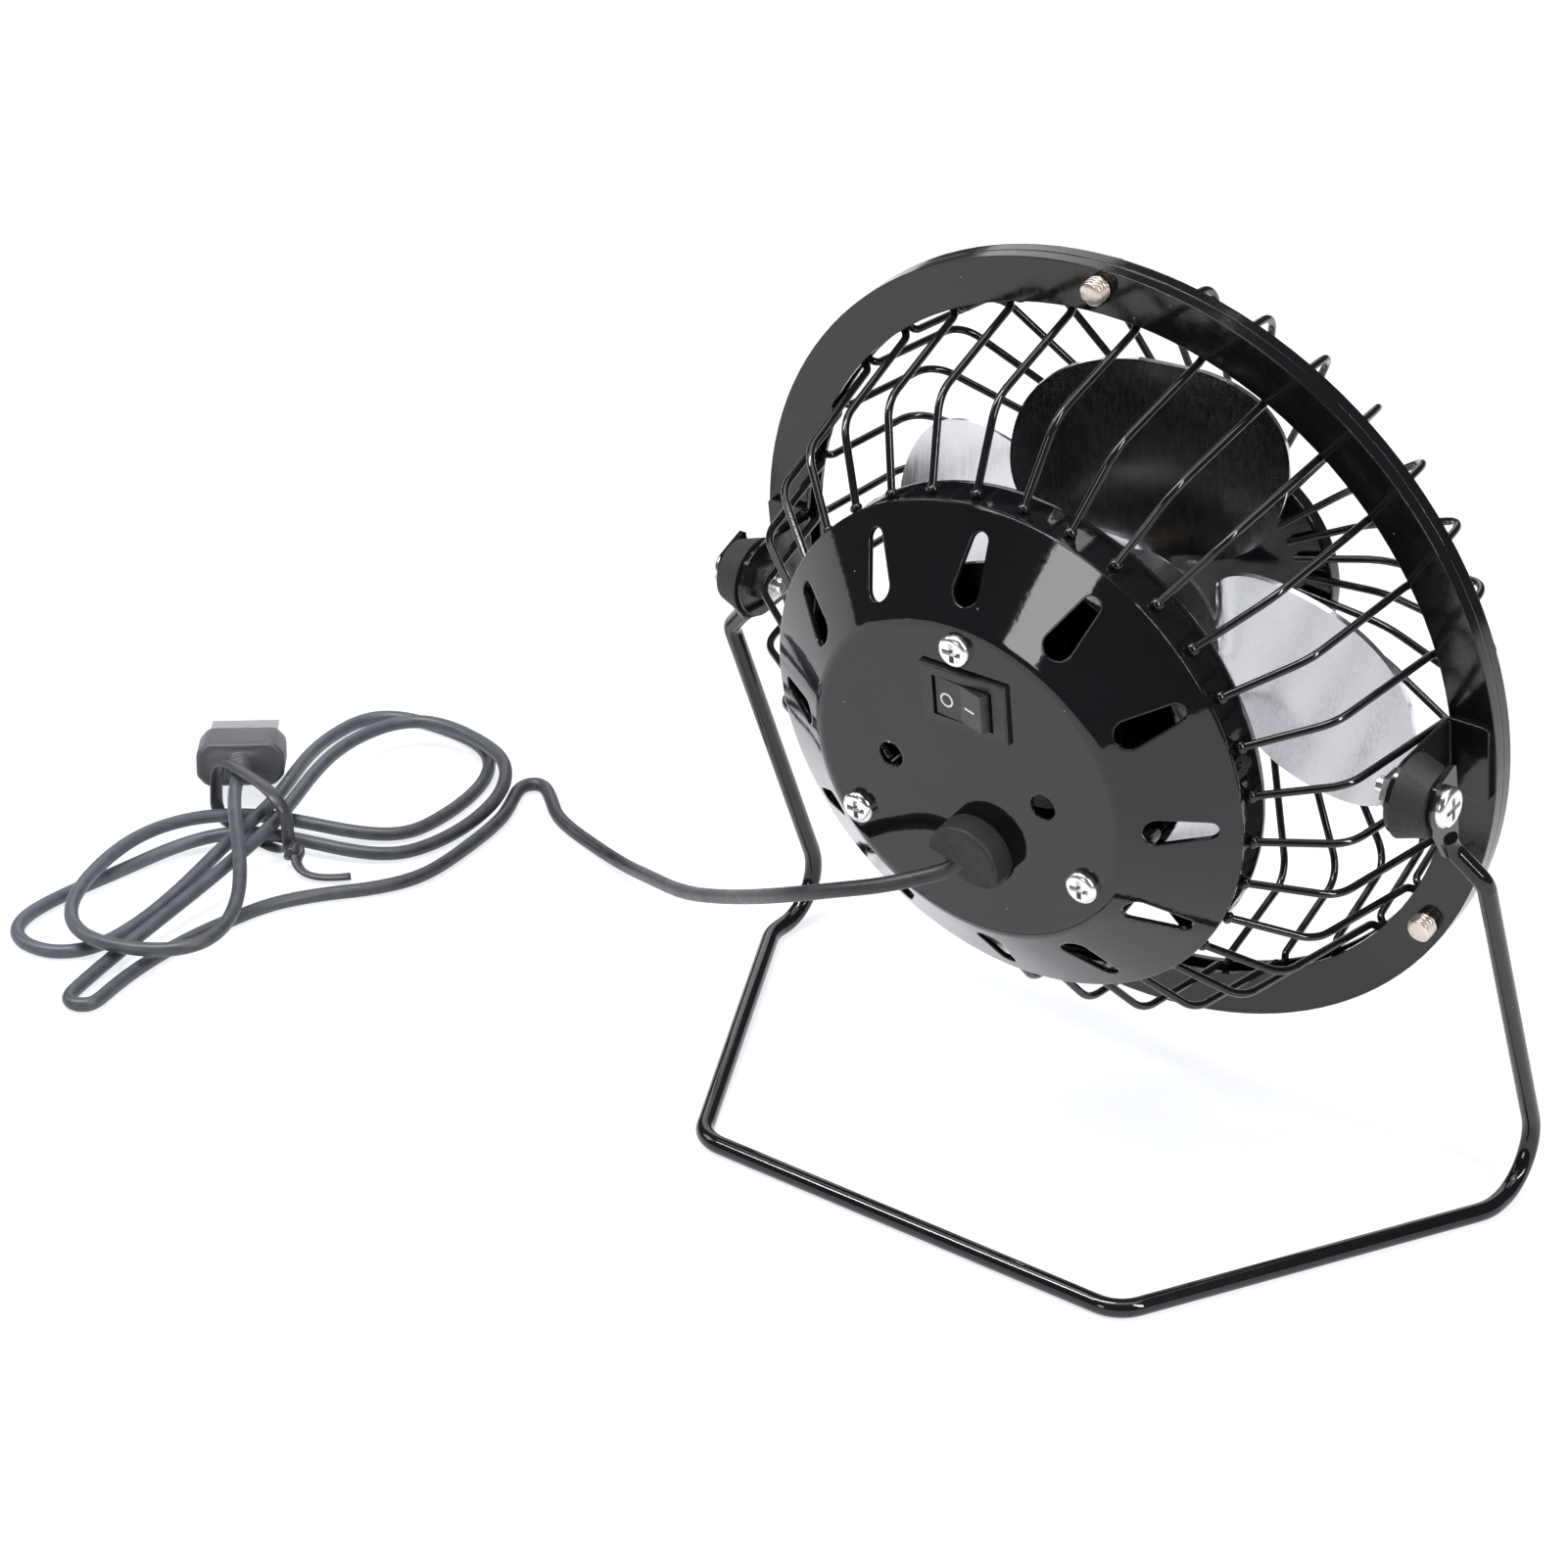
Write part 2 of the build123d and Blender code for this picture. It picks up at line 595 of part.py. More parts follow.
with BuildPart() as motor_cup:
    with BuildSketch(HEAD_SIDE):
        with BuildLine():
            Polyline(
                (0, cup_rim),
                (cup_r, cup_rim),
                (cup_r, CUP_FRONT_BEHIND),
                (NOSE_R, CUP_FRONT_BEHIND),
                (NOSE_R, -NOSE_AHEAD),
                (0, -NOSE_AHEAD),
                close=True,
            )
        make_face()
    revolve(axis=FAN_AXIS)
    front_edges = motor_cup.edges().filter_by(GeomType.CIRCLE).group_by(FAN_AXIS)
    fillet(front_edges[0] + front_edges[1].sort_by(SortBy.RADIUS)[-1:], CUP_BEND)
    offset(amount=-SHEET, openings=motor_cup.faces().sort_by(FAN_AXIS)[-1])
    with BuildSketch(head_plane(CUP_FRONT_BEHIND)):
        Circle(cup_vent_outer_r)
        Circle(CUP_VENT_INNER_R, mode=Mode.SUBTRACT)
        for angle in CUP_SPOKE_ANGLES:
            with Locations(Rotation(0, 0, angle)):
                Rectangle(cup_r, CUP_SPOKE_WIDTH, align=(Align.MIN, Align.CENTER), mode=Mode.SUBTRACT)
    extrude(amount=SHEET, mode=Mode.SUBTRACT)
    with BuildSketch(head_plane(CUP_FRONT_BEHIND + SHEET)):
        with Locations(*on_circle(COVER_SCREW_CIRCLE_R, COVER_SCREW_ANGLES)):
            Circle(POST_DIA / 2)
    extrude(amount=cover_inside - CUP_FRONT_BEHIND - SHEET)
    with BuildSketch(head_plane(cover_inside)):
        with Locations(*on_circle(COVER_SCREW_CIRCLE_R, COVER_SCREW_ANGLES)):
            Circle(cover_screw_hole_r)
    extrude(amount=-COVER_SCREW_LENGTH, mode=Mode.SUBTRACT)
    with BuildSketch(head_plane(-NOSE_AHEAD)):
        Circle(BEARING_DIA / 2 + FIT)
        with PolarLocations(MOTOR_SCREW_R, 2):
            Circle(MOTOR_SCREW_DIA / 2 + FIT)
    extrude(amount=SHEET, mode=Mode.SUBTRACT)
motor_cup.part.label = "motor_cup"
export_step(motor_cup.part, "parts/motor_cup.step")

cone_length = sqrt((COVER_RIM_R - COVER_FLAT_R) ** 2 + (COVER_BEHIND - COVER_RIM_BEHIND) ** 2)
cone_out = (COVER_RIM_R - COVER_FLAT_R) / cone_length
cone_back = (COVER_BEHIND - COVER_RIM_BEHIND) / cone_length
slot_r = (COVER_RIM_R + COVER_FLAT_R) / 2
slot_behind = (COVER_BEHIND + COVER_RIM_BEHIND) / 2
slot_inner_end = (SLOT_INNER_WIDTH - SLOT_LENGTH) / 2
slot_outer_end = (SLOT_LENGTH - SLOT_OUTER_WIDTH) / 2

with BuildPart() as rear_cover:
    with BuildSketch(HEAD_SIDE):
        with BuildLine():
            Polyline(
                (0, COVER_BEHIND),
                (COVER_FLAT_R, COVER_BEHIND),
                (COVER_RIM_R, COVER_RIM_BEHIND),
                (COVER_RIM_R, cup_rim),
                (0, cup_rim),
                close=True,
            )
        make_face()
    revolve(axis=FAN_AXIS)
    fillet(rear_cover.edges().filter_by(GeomType.CIRCLE).sort_by(FAN_AXIS)[-1], COVER_BEND)
    offset(amount=-SHEET, openings=rear_cover.faces().sort_by(FAN_AXIS)[0])
    for index in range(SLOT_COUNT):
        angle = index * 360 / SLOT_COUNT
        across = radians(angle)
        slot_plane = Plane(
            origin=around(slot_r, angle, slot_behind),
            x_dir=head_vector(cone_out * cos(across), cone_out * sin(across), -cone_back),
            z_dir=head_vector(cone_back * cos(across), cone_back * sin(across), cone_out),
        )
        with BuildSketch(slot_plane):
            with Locations((slot_inner_end, 0)):
                Circle(SLOT_INNER_WIDTH / 2)
            with Locations((slot_outer_end, 0)):
                Circle(SLOT_OUTER_WIDTH / 2)
            make_hull()
        extrude(amount=2 * SHEET, both=True, mode=Mode.SUBTRACT)
    with BuildSketch(head_plane(COVER_BEHIND)):
        with Locations(*on_circle(COVER_SCREW_CIRCLE_R, COVER_SCREW_ANGLES)):
            Circle(cover_screw_hole_r)
        with Locations((-PLAIN_HOLE_X, 0), (PLAIN_HOLE_X, 0)):
            Circle(PLAIN_HOLE_DIA / 2)
        with Locations((SWITCH_SHIFT, SWITCH_UP)):
            Rectangle(SWITCH_BODY_LENGTH + 2 * FIT, SWITCH_BODY_WIDTH + 2 * FIT)
        with Locations((GROMMET_SHIFT, -GROMMET_DOWN)):
            Circle(GROMMET_NECK_DIA / 2 + FIT)
    extrude(amount=-SHEET, mode=Mode.SUBTRACT)
rear_cover.part.label = "rear_cover"
export_step(rear_cover.part, "parts/rear_cover.step")

for number, angle in enumerate(COVER_SCREW_ANGLES, start=1):
    with BuildPart() as cover_screw:
        with BuildSketch(head_plane(COVER_BEHIND, COVER_SCREW_CIRCLE_R, angle)):
            Circle(COVER_SCREW_HEAD_DIA / 2)
        extrude(amount=COVER_SCREW_HEAD)
        crown = cover_screw.edges().filter_by(GeomType.CIRCLE).sort_by(FAN_AXIS)[-1]
        fillet(crown, COVER_SCREW_HEAD * CROWN_SHARE)
        with BuildSketch(head_plane(COVER_BEHIND + COVER_SCREW_HEAD, COVER_SCREW_CIRCLE_R, angle)):
            Rectangle(COVER_SCREW_HEAD_DIA * RECESS_SHARE, SHEET)
            Rectangle(SHEET, COVER_SCREW_HEAD_DIA * RECESS_SHARE)
        extrude(amount=-COVER_SCREW_HEAD / 2, mode=Mode.SUBTRACT)
        with BuildSketch(head_plane(COVER_BEHIND, COVER_SCREW_CIRCLE_R, angle)):
            Circle(COVER_SCREW_DIA / 2)
        extrude(amount=-COVER_SCREW_LENGTH)
    cover_screw.part.label = f"cover_screw_{number}"
    export_step(cover_screw.part, f"parts/cover_screw_{number}.step")

# Rocker switch, its long side across the head
switch_face = COVER_BEHIND + BEZEL
rocker_pivot = switch_face - ROCKER_PIVOT_DEPTH


def switch_plane(behind):
    """A plane across the switch, facing the rear."""
    return Plane(origin=head_point(SWITCH_SHIFT, SWITCH_UP, behind), x_dir=HEAD.x_dir, z_dir=HEAD.z_dir)


def rocker_plane(turn):
    """The plane across the rocker's pin, turned about it: x to the right, y to the rear."""
    out = head_vector(cos(radians(turn)), 0, sin(radians(turn)))
    return Plane(origin=head_point(SWITCH_SHIFT, SWITCH_UP, rocker_pivot), x_dir=out, z_dir=-HEAD.y_dir)


with BuildPart() as switch_body:
    with BuildSketch(switch_plane(COVER_BEHIND)):
        Rectangle(BEZEL_LENGTH, BEZEL_WIDTH)
    extrude(amount=BEZEL)
    chamfer(switch_body.faces().sort_by(FAN_AXIS)[-1].edges(), BEZEL / 3)
    with BuildSketch(switch_plane(COVER_BEHIND)):
        Rectangle(SWITCH_BODY_LENGTH, SWITCH_BODY_WIDTH)
    extrude(amount=-SWITCH_BODY_DEPTH)
    with BuildSketch(switch_plane(switch_face)):
        Rectangle(ROCKER_OPENING, ROCKER_POCKET_WIDTH)
    extrude(amount=-ROCKER_POCKET_DEPTH, mode=Mode.SUBTRACT)
    with BuildSketch(rocker_plane(0)):
        Circle(ROCKER_PIN_DIA / 2 + FIT)
    extrude(amount=ROCKER_WIDTH / 2 + ROCKER_PIN_REACH + FIT, both=True, mode=Mode.SUBTRACT)
switch_body.part.label = "switch_body"
export_step(switch_body.part, "parts/switch_body.step")

rocker_end = ROCKER_VALLEY + ROCKER_HALF_LENGTH * tan(radians(ROCKER_VEE))
rocker_reach = sqrt(ROCKER_HALF_LENGTH**2 + rocker_end**2)
rocker_root = sqrt(rocker_reach**2 - ROCKER_ROOT**2)

with BuildPart() as switch_rocker:
    with BuildSketch(rocker_plane(ROCKER_SWING)):
        with BuildLine():
            faces = Polyline(
                (-ROCKER_HALF_LENGTH, rocker_end),
                (0, ROCKER_VALLEY),
                (ROCKER_HALF_LENGTH, rocker_end),
            )
            right_end = ThreePointArc(faces @ 1, (rocker_reach, 0), (rocker_root, -ROCKER_ROOT))
            left_end = ThreePointArc(faces @ 0, (-rocker_reach, 0), (-rocker_root, -ROCKER_ROOT))
            Line(right_end @ 1, left_end @ 1)
        make_face()
    extrude(amount=ROCKER_WIDTH / 2, both=True)
    with BuildSketch(rocker_plane(ROCKER_SWING)):
        Circle(ROCKER_PIN_DIA / 2)
    extrude(amount=ROCKER_WIDTH / 2 + ROCKER_PIN_REACH, both=True)
switch_rocker.part.label = "switch_rocker"
export_step(switch_rocker.part, "parts/switch_rocker.step")

with BuildPart() as switch_terminals:
    with BuildSketch(switch_plane(COVER_BEHIND - SWITCH_BODY_DEPTH)):
        with GridLocations(TERMINAL_SPACING, 0, 2, 1):
            Rectangle(TERMINAL, TERMINAL_WIDTH)
    extrude(amount=-TERMINAL_LENGTH)
switch_terminals.part.label = "switch_terminals"
export_step(switch_terminals.part, "parts/switch_terminals.step")

# Cable grommet, full height on the side away from the cord and notched on the other
grommet_exit = radians(GROMMET_EXIT_ANGLE)


def grommet_plane(height):
    """A plane across the grommet, x along the cord's way out."""
    return Plane(
        origin=head_point(GROMMET_SHIFT, -GROMMET_DOWN, COVER_BEHIND + height),
        x_dir=head_vector(cos(grommet_exit), sin(grommet_exit), 0),
        z_dir=HEAD.z_dir,
    )


cord_r = CORD_DIA / 2
cord_mouth = grommet_plane(CORD_RISE).from_local_coords((GROMMET_STEP, -CORD_SIDE, 0))
lead_way = (Vector(*LEAD_ROUTE[0]) - cord_mouth).normalized()
lead_start = cord_mouth - lead_way * CORD_IN_GROMMET

with BuildPart() as cable_grommet:
    with BuildSketch(grommet_plane(0)):
        Circle(GROMMET_DIA / 2)
    extrude(amount=GROMMET_HEIGHT)
    fillet(cable_grommet.edges().filter_by(GeomType.CIRCLE).sort_by(FAN_AXIS)[-1], SHEET)
    with BuildSketch(grommet_plane(GROMMET_LOW_HEIGHT)):
        with Locations((GROMMET_DIA / 2, 0)):
            Rectangle(GROMMET_DIA - 2 * GROMMET_STEP, 2 * GROMMET_DIA)
    extrude(amount=GROMMET_HEIGHT, mode=Mode.SUBTRACT)
    with BuildSketch(Plane(origin=lead_start, z_dir=lead_way)):
        Circle(cord_r + CORD_ROOM)
    extrude(amount=2 * CORD_IN_GROMMET, mode=Mode.SUBTRACT)
    with BuildSketch(grommet_plane(0)):
        Circle(GROMMET_NECK_DIA / 2)
    extrude(amount=-SHEET - SEAT)
    with BuildSketch(grommet_plane(-SHEET - SEAT)):
        Circle(GROMMET_FLANGE_DIA / 2)
    extrude(amount=-GROMMET_FLANGE)
cable_grommet.part.label = "cable_grommet"
export_step(cable_grommet.part, "parts/cable_grommet.step")

# Motor, inside the cup's nose
can_front = nose_inside
can_back = can_front + MOTOR_LENGTH
can_inner_r = MOTOR_DIA / 2 - MOTOR_WALL
cap_front = can_back - MOTOR_CAP
magnet_r = can_inner_r - FIT
core_r = magnet_r - MAGNET - CORE_GAP
core_front = can_front + MOTOR_WALL + (WINDING_LENGTH - CORE_LENGTH) / 2 + CORE_GAP
shaft_hole_r = SHAFT_DIA / 2 + RUNNING_GAP

with BuildPart() as motor_can:
    with BuildSketch(head_plane(can_front)):
        Circle(MOTOR_DIA / 2)
    extrude(amount=MOTOR_LENGTH)
    fillet(motor_can.edges().filter_by(GeomType.CIRCLE).sort_by(FAN_AXIS)[0], MOTOR_WALL)
    with BuildSketch(head_plane(can_front + MOTOR_WALL)):
        Circle(can_inner_r)
    extrude(amount=MOTOR_LENGTH, mode=Mode.SUBTRACT)
    with BuildSketch(head_plane(can_front)):
        Circle(BEARING_DIA / 2 + FIT)
        with PolarLocations(MOTOR_SCREW_R, 2):
            Circle(MOTOR_SCREW_DIA / 2 + FIT)
    extrude(amount=MOTOR_WALL, mode=Mode.SUBTRACT)
motor_can.part.label = "motor_can"
export_step(motor_can.part, "parts/motor_can.step")

with BuildPart() as motor_cap:
    with BuildSketch(head_plane(cap_front)):
        Circle(can_inner_r - FIT)
        Circle(BEARING_DIA / 2 + FIT, mode=Mode.SUBTRACT)
    extrude(amount=MOTOR_CAP)
motor_cap.part.label = "motor_cap"
export_step(motor_cap.part, "parts/motor_cap.step")

for end, bearing_from in (("front", -NOSE_AHEAD), ("rear", cap_front)):
    with BuildPart() as motor_bearing:
        with BuildSketch(head_plane(bearing_from)):
            Circle(BEARING_DIA / 2)
            Circle(shaft_hole_r, mode=Mode.SUBTRACT)
        extrude(amount=BEARING_LENGTH)
    motor_bearing.part.label = f"motor_bearing_{end}"
    export_step(motor_bearing.part, f"parts/motor_bearing_{end}.step")

with BuildPart() as motor_magnets:
    with BuildSketch(head_plane(can_front + MOTOR_WALL + CORE_GAP)):
        Circle(magnet_r)
        Circle(magnet_r - MAGNET, mode=Mode.SUBTRACT)
        Rectangle(MAGNET_GAP, 2 * MOTOR_DIA, mode=Mode.SUBTRACT)
    extrude(amount=MAGNET_LENGTH)
motor_magnets.part.label = "motor_magnets"
export_step(motor_magnets.part, "parts/motor_magnets.step")

with BuildPart() as motor_brushes:
    with BuildSketch(head_plane(cap_front)):
        with PolarLocations(COMMUTATOR_DIA / 2 + FIT + BRUSH_LENGTH / 2, 2):
            Rectangle(BRUSH_LENGTH, BRUSH_WIDTH)
    extrude(amount=-BRUSH_WIDTH)
motor_brushes.part.label = "motor_brushes"
export_step(motor_brushes.part, "parts/motor_brushes.step")

for number, angle in enumerate((0, 180), start=1):
    with BuildPart() as motor_screw:
        with BuildSketch(head_plane(-NOSE_AHEAD, MOTOR_SCREW_R, angle)):
            Circle(MOTOR_SCREW_HEAD_DIA / 2)
        extrude(amount=-MOTOR_SCREW_HEAD)
        with BuildSketch(head_plane(-NOSE_AHEAD, MOTOR_SCREW_R, angle)):
            Circle(MOTOR_SCREW_DIA / 2)
        extrude(amount=SHEET + MOTOR_WALL)
    motor_screw.part.label = f"motor_screw_{number}"
    export_step(motor_screw.part, f"parts/motor_screw_{number}.step")

# What turns with the fan: shaft, armature, hub and blades
with BuildPart() as motor_shaft:
    with BuildSketch(head_plane(can_back)):
        Circle(SHAFT_DIA / 2)
    extrude(amount=-can_back - SHAFT_AHEAD)
motor_shaft.part.label = "motor_shaft"
export_step(motor_shaft.part, "parts/motor_shaft.step")

with BuildPart() as armature_core:
    with BuildSketch(head_plane(core_front)):
        Circle(core_r)
        Circle(core_r - POLE_SHOE, mode=Mode.SUBTRACT)
        with PolarLocations(core_r, POLE_COUNT, start_angle=180 / POLE_COUNT):
            Rectangle(2 * POLE_SHOE + POLE_WIDTH, POLE_WIDTH, mode=Mode.SUBTRACT)
        Circle(CORE_DIA / 2)
        with PolarLocations((core_r - POLE_SHOE / 2) / 2, POLE_COUNT):
            Rectangle(core_r - POLE_SHOE / 2, POLE_WIDTH)
        Circle(shaft_hole_r, mode=Mode.SUBTRACT)
    extrude(amount=CORE_LENGTH)
armature_core.part.label = "armature_core"
export_step(armature_core.part, "parts/armature_core.step")

winding_half_width = POLE_WIDTH / 2 + WINDING_WIDTH
winding_from = CORE_DIA / 2 + WINDING_WIDTH
winding_to = sqrt((core_r - POLE_SHOE) ** 2 - winding_half_width**2) - FIT

with BuildPart() as armature_windings:
    with BuildSketch(head_plane(core_front - (WINDING_LENGTH - CORE_LENGTH) / 2)):
        with PolarLocations((winding_from + winding_to) / 2, POLE_COUNT):
            Rectangle(winding_to - winding_from, 2 * winding_half_width)
    extrude(amount=WINDING_LENGTH)
    with BuildSketch(head_plane(core_front - FIT)):
        with PolarLocations((winding_from + winding_to) / 2, POLE_COUNT):
            Rectangle(winding_to - winding_from, POLE_WIDTH + 2 * FIT)
    extrude(amount=CORE_LENGTH + 2 * FIT, mode=Mode.SUBTRACT)
armature_windings.part.label = "armature_windings"
export_step(armature_windings.part, "parts/armature_windings.step")

with BuildPart() as commutator:
    with BuildSketch(head_plane(cap_front - CORE_GAP)):
        Circle(COMMUTATOR_DIA / 2)
        Circle(shaft_hole_r, mode=Mode.SUBTRACT)
    extrude(amount=-COMMUTATOR_LENGTH)
commutator.part.label = "commutator"
export_step(commutator.part, "parts/commutator.step")

plate_back = -FAN_AHEAD + BLADE / 2

with BuildPart() as fan_hub:
    with BuildSketch(head_plane(plate_back)):
        Circle(HUB_DIA / 2)
    extrude(amount=HUB_LENGTH)
    with BuildSketch(head_plane(plate_back)):
        Circle(HUB_SPIGOT_DIA / 2)
    extrude(amount=-HUB_SPIGOT_LENGTH)
    with BuildSketch(head_plane(plate_back - HUB_SPIGOT_LENGTH)):
        Circle(shaft_hole_r)
    extrude(amount=HUB_SPIGOT_LENGTH + HUB_LENGTH, mode=Mode.SUBTRACT)
fan_hub.part.label = "fan_hub"
export_step(fan_hub.part, "parts/fan_hub.step")

with BuildPart() as fan_washer:
    with BuildSketch(head_plane(plate_back - BLADE)):
        Circle(FAN_WASHER_DIA / 2)
        Circle(HUB_SPIGOT_DIA / 2 + FIT, mode=Mode.SUBTRACT)
    extrude(amount=-FAN_WASHER)
fan_washer.part.label = "fan_washer"
export_step(fan_washer.part, "parts/fan_washer.step")

blade_middle_r = (BLADE_TIP_R + BLADE_ROOT_R) / 2
blade_half_length = (BLADE_TIP_R - BLADE_ROOT_R) / 2


def blade_width(radius):
    """The width of a rounded paddle on its narrower neck, at a radius from the fan's axis."""
    along = (radius - blade_middle_r) / blade_half_length
    paddle = BLADE_WIDTH * max(0, 1 - abs(along) ** BLADE_SQUARENESS) ** (1 / BLADE_SQUARENESS)
    return max(paddle, NECK_WIDTH) if along < 0 else paddle


def blade_section(radius, pitch, thickness):
    """A thin curved strip across a blade, square to its length."""
    angle = BLADE_REST_ANGLE
    across = radians(angle)
    lean = radians(pitch)
    chord = head_vector(-sin(across) * cos(lean), cos(across) * cos(lean), sin(lean))
    out = head_vector(cos(across), sin(across), 0)
    half = blade_width(radius) / 2
    sag = BLADE_CAMBER_R - sqrt(BLADE_CAMBER_R**2 - half**2)
    middle = around(radius, angle, -FAN_AHEAD) - chord * BLADE_SWEEP * (radius - blade_middle_r)
    plane = Plane(origin=middle, x_dir=chord, z_dir=out)
    with BuildSketch(plane) as section:
        with BuildLine():
            ThreePointArc((-half, sag - thickness / 2), (0, -thickness / 2), (half, sag - thickness / 2))
            Line((half, sag - thickness / 2), (half, sag + thickness / 2))
            ThreePointArc((half, sag + thickness / 2), (0, thickness / 2), (-half, sag + thickness / 2))
            Line((-half, sag + thickness / 2), (-half, sag - thickness / 2))
        make_face()
    return section.sketch


neck_r = (FAN_PLATE_R + BLADE_ROOT_R) / 2
paddle_stations = [blade_middle_r - blade_half_length * cos(radians(turn)) for turn in BLADE_STATIONS]

with BuildPart() as blade:
    add(blade_section(FAN_PLATE_R - BLADE, 0, BLADE_AT_PLATE))
    add(blade_section(neck_r + BLADE, BLADE_PITCH / 2, BLADE_AT_NECK))
    for station in paddle_stations:
        add(blade_section(station, BLADE_PITCH, BLADE))
    loft()

with BuildPart() as fan_blades:
    with BuildSketch(head_plane(plate_back)):
        Circle(FAN_PLATE_R)
    extrude(amount=-BLADE)
    add([blade.part.rotate(FAN_AXIS, index * 360 / BLADE_COUNT) for index in range(BLADE_COUNT)])
    with BuildSketch(head_plane(plate_back)):
        Circle(HUB_SPIGOT_DIA / 2 + FIT)
    extrude(amount=-BLADE, mode=Mode.SUBTRACT)
fan_blades.part.label = "fan_blades"
export_step(fan_blades.part, "parts/fan_blades.step")

# Cord lead, from the grommet down to the floor and over to the hank
def hank_point(along, across, height):
    """A point given along and across the hank."""
    turn = radians(HANK_BEARING)
    x = HANK_WAIST[0] + along * cos(turn) - across * sin(turn)
    y = HANK_WAIST[1] + along * sin(turn) + across * cos(turn)
    return Vector(x, y, height)


def hank_heading(heading, drop=0):
    """A direction given by its heading in the hank's frame and its fall below the level."""
    turn = radians(HANK_BEARING + heading)
    return Vector(cos(turn) * cos(radians(drop)), sin(turn) * cos(radians(drop)), -sin(radians(drop)))


def bend_radii(points):
    """The largest arcs that the runs of a route leave room for."""
    radii = []
    for before, point, after in zip(points, points[1:], points[2:]):
        turn = (point - before).get_angle(after - point)
        shorter = min((point - before).length, (after - point).length)
        radii.append(BEND_SHARE * shorter / tan(radians(turn) / 2))
    return radii


hank_start = hank_point(*HANK_START, LAYERS["floor"])
lead_points = [lead_start, *[Vector(*point) for point in LEAD_ROUTE], hank_start]
lead_radii = bend_radii(lead_points)
print("lead bend radii", [round(radius, 1) for radius in lead_radii])

with BuildPart() as cord_lead:
    with BuildLine() as lead_path:
        FilletPolyline(lead_points, radius=lead_radii)
    with BuildSketch(Plane(origin=lead_start, z_dir=lead_way)):
        Circle(cord_r)
    sweep()
lead_length = lead_path.wires()[0].length
print("lead length", round(lead_length, 1))
print("lead volume ratio", cord_lead.part.volume / (lead_length * pi * cord_r**2))
cord_lead.part.label = "cord_lead"
export_step(cord_lead.part, "parts/cord_lead.step")

# Cord hank, one tube through the fold, the lobes and the passes between them
lead_last_run = hank_start - lead_points[-2]
lead_heading = degrees(atan2(lead_last_run.Y, lead_last_run.X)) - HANK_BEARING


def lobe_station(bearing, along, across, layer, heading):
    """A place on a lobe, with its heading in the hank's frame."""
    turn = radians(bearing)
    place = (along * cos(turn) - across * sin(turn), along * sin(turn) + across * cos(turn))
    return hank_point(*place, LAYERS[layer]), hank_heading(bearing + heading)


def fold_stations():
    """The tight fold at the hank's far end."""
    base = FOLD_REACH - FOLD_HALF_WIDTH
    yield lobe_station(FOLD_BEARING, base, FOLD_HALF_WIDTH, "floor", 0)
    yield lobe_station(FOLD_BEARING, FOLD_REACH, 0, "floor", -90)
    yield lobe_station(FOLD_BEARING, base, -FOLD_HALF_WIDTH, "floor", 180)


def lobe_stations(reach, half_width, bearing, widest, layers):
    """One side, the tip and the other side of a lobe: right ones run clockwise, left ones the other way."""
    turn = -1 if abs(bearing) < 90 else 1
    yield lobe_station(bearing, widest[0] * reach, -turn * half_width, layers[0], 0)
    yield lobe_station(bearing, reach, 0, layers[1], turn * 90)
    yield lobe_station(bearing, widest[1] * reach, turn * half_width, layers[2], 180)


relief_end = hank_point(*PLUG_RELIEF_END)
plug_way = hank_heading(PLUG_HEADING, PLUG_DROP)
hank_begin = hank_start + hank_heading(lead_heading) * CORD_DIA
hank_finish = relief_end - plug_way * CORD_DIA
stations = [(hank_begin, hank_heading(lead_heading)), *fold_stations()]
for (place, layer, heading), lobe in zip(WAIST_PASSES, (NEAR_RIGHT, NEAR_LEFT, FAR_RIGHT, FAR_LEFT, None)):
    stations.append((hank_point(*place, LAYERS[layer]), hank_heading(heading)))
    if lobe:
        stations.extend(lobe_stations(*lobe))
stations.append((hank_finish, plug_way))


def biarc_joint(start, start_way, end, end_way):
    """Where two tangent arcs from start to end meet."""
    span = end - start
    ways = start_way + end_way
    square = 2 * (1 - start_way.dot(end_way))
    linear = 2 * span.dot(ways)
    reach = span.dot(span)
    step = 2 * reach / (linear + sqrt(linear**2 + 4 * square * reach))
    return (start + end + (start_way - end_way) * step) / 2


with BuildPart() as cord_hank:
    with BuildLine() as hank_path:
        Line(hank_start, hank_begin)
        for (start, start_way), (end, end_way) in zip(stations, stations[1:]):
            joint = biarc_joint(start, start_way, end, end_way)
            first = TangentArc(start, joint, tangent=start_way)
            TangentArc(joint, end, tangent=first % 1)
        Line(hank_finish, relief_end)
    with BuildSketch(Plane(origin=hank_start, z_dir=hank_heading(lead_heading))):
        Circle(cord_r)
    sweep()
hank_wire = hank_path.wires()[0]
hank_length = hank_wire.length
print("hank length", round(hank_length, 1))
print("hank volume ratio", cord_hank.part.volume / (hank_length * pi * cord_r**2))
samples = [hank_wire @ (index / hank_length) for index in range(int(hank_length))]
apart = int(4 * CORD_DIA)
least = min(
    (first - second).length
    for index, first in enumerate(samples)
    for second in samples[index + apart :]
)
print("hank least gap to itself", round(least - CORD_DIA, 2))
cord_hank.part.label = "cord_hank"
export_step(cord_hank.part, "parts/cord_hank.step")

# Tie: a strap closed round the waist, with its knot and loose tail
tie_plane = Plane(
    origin=hank_point(TIE_ALONG, TIE_MIDDLE, TIE_HEIGHT / 2),
    x_dir=hank_heading(90),
    z_dir=hank_heading(0),
)
tail_points = [hank_point(*point) for point in TIE_TAIL_ROUTE]

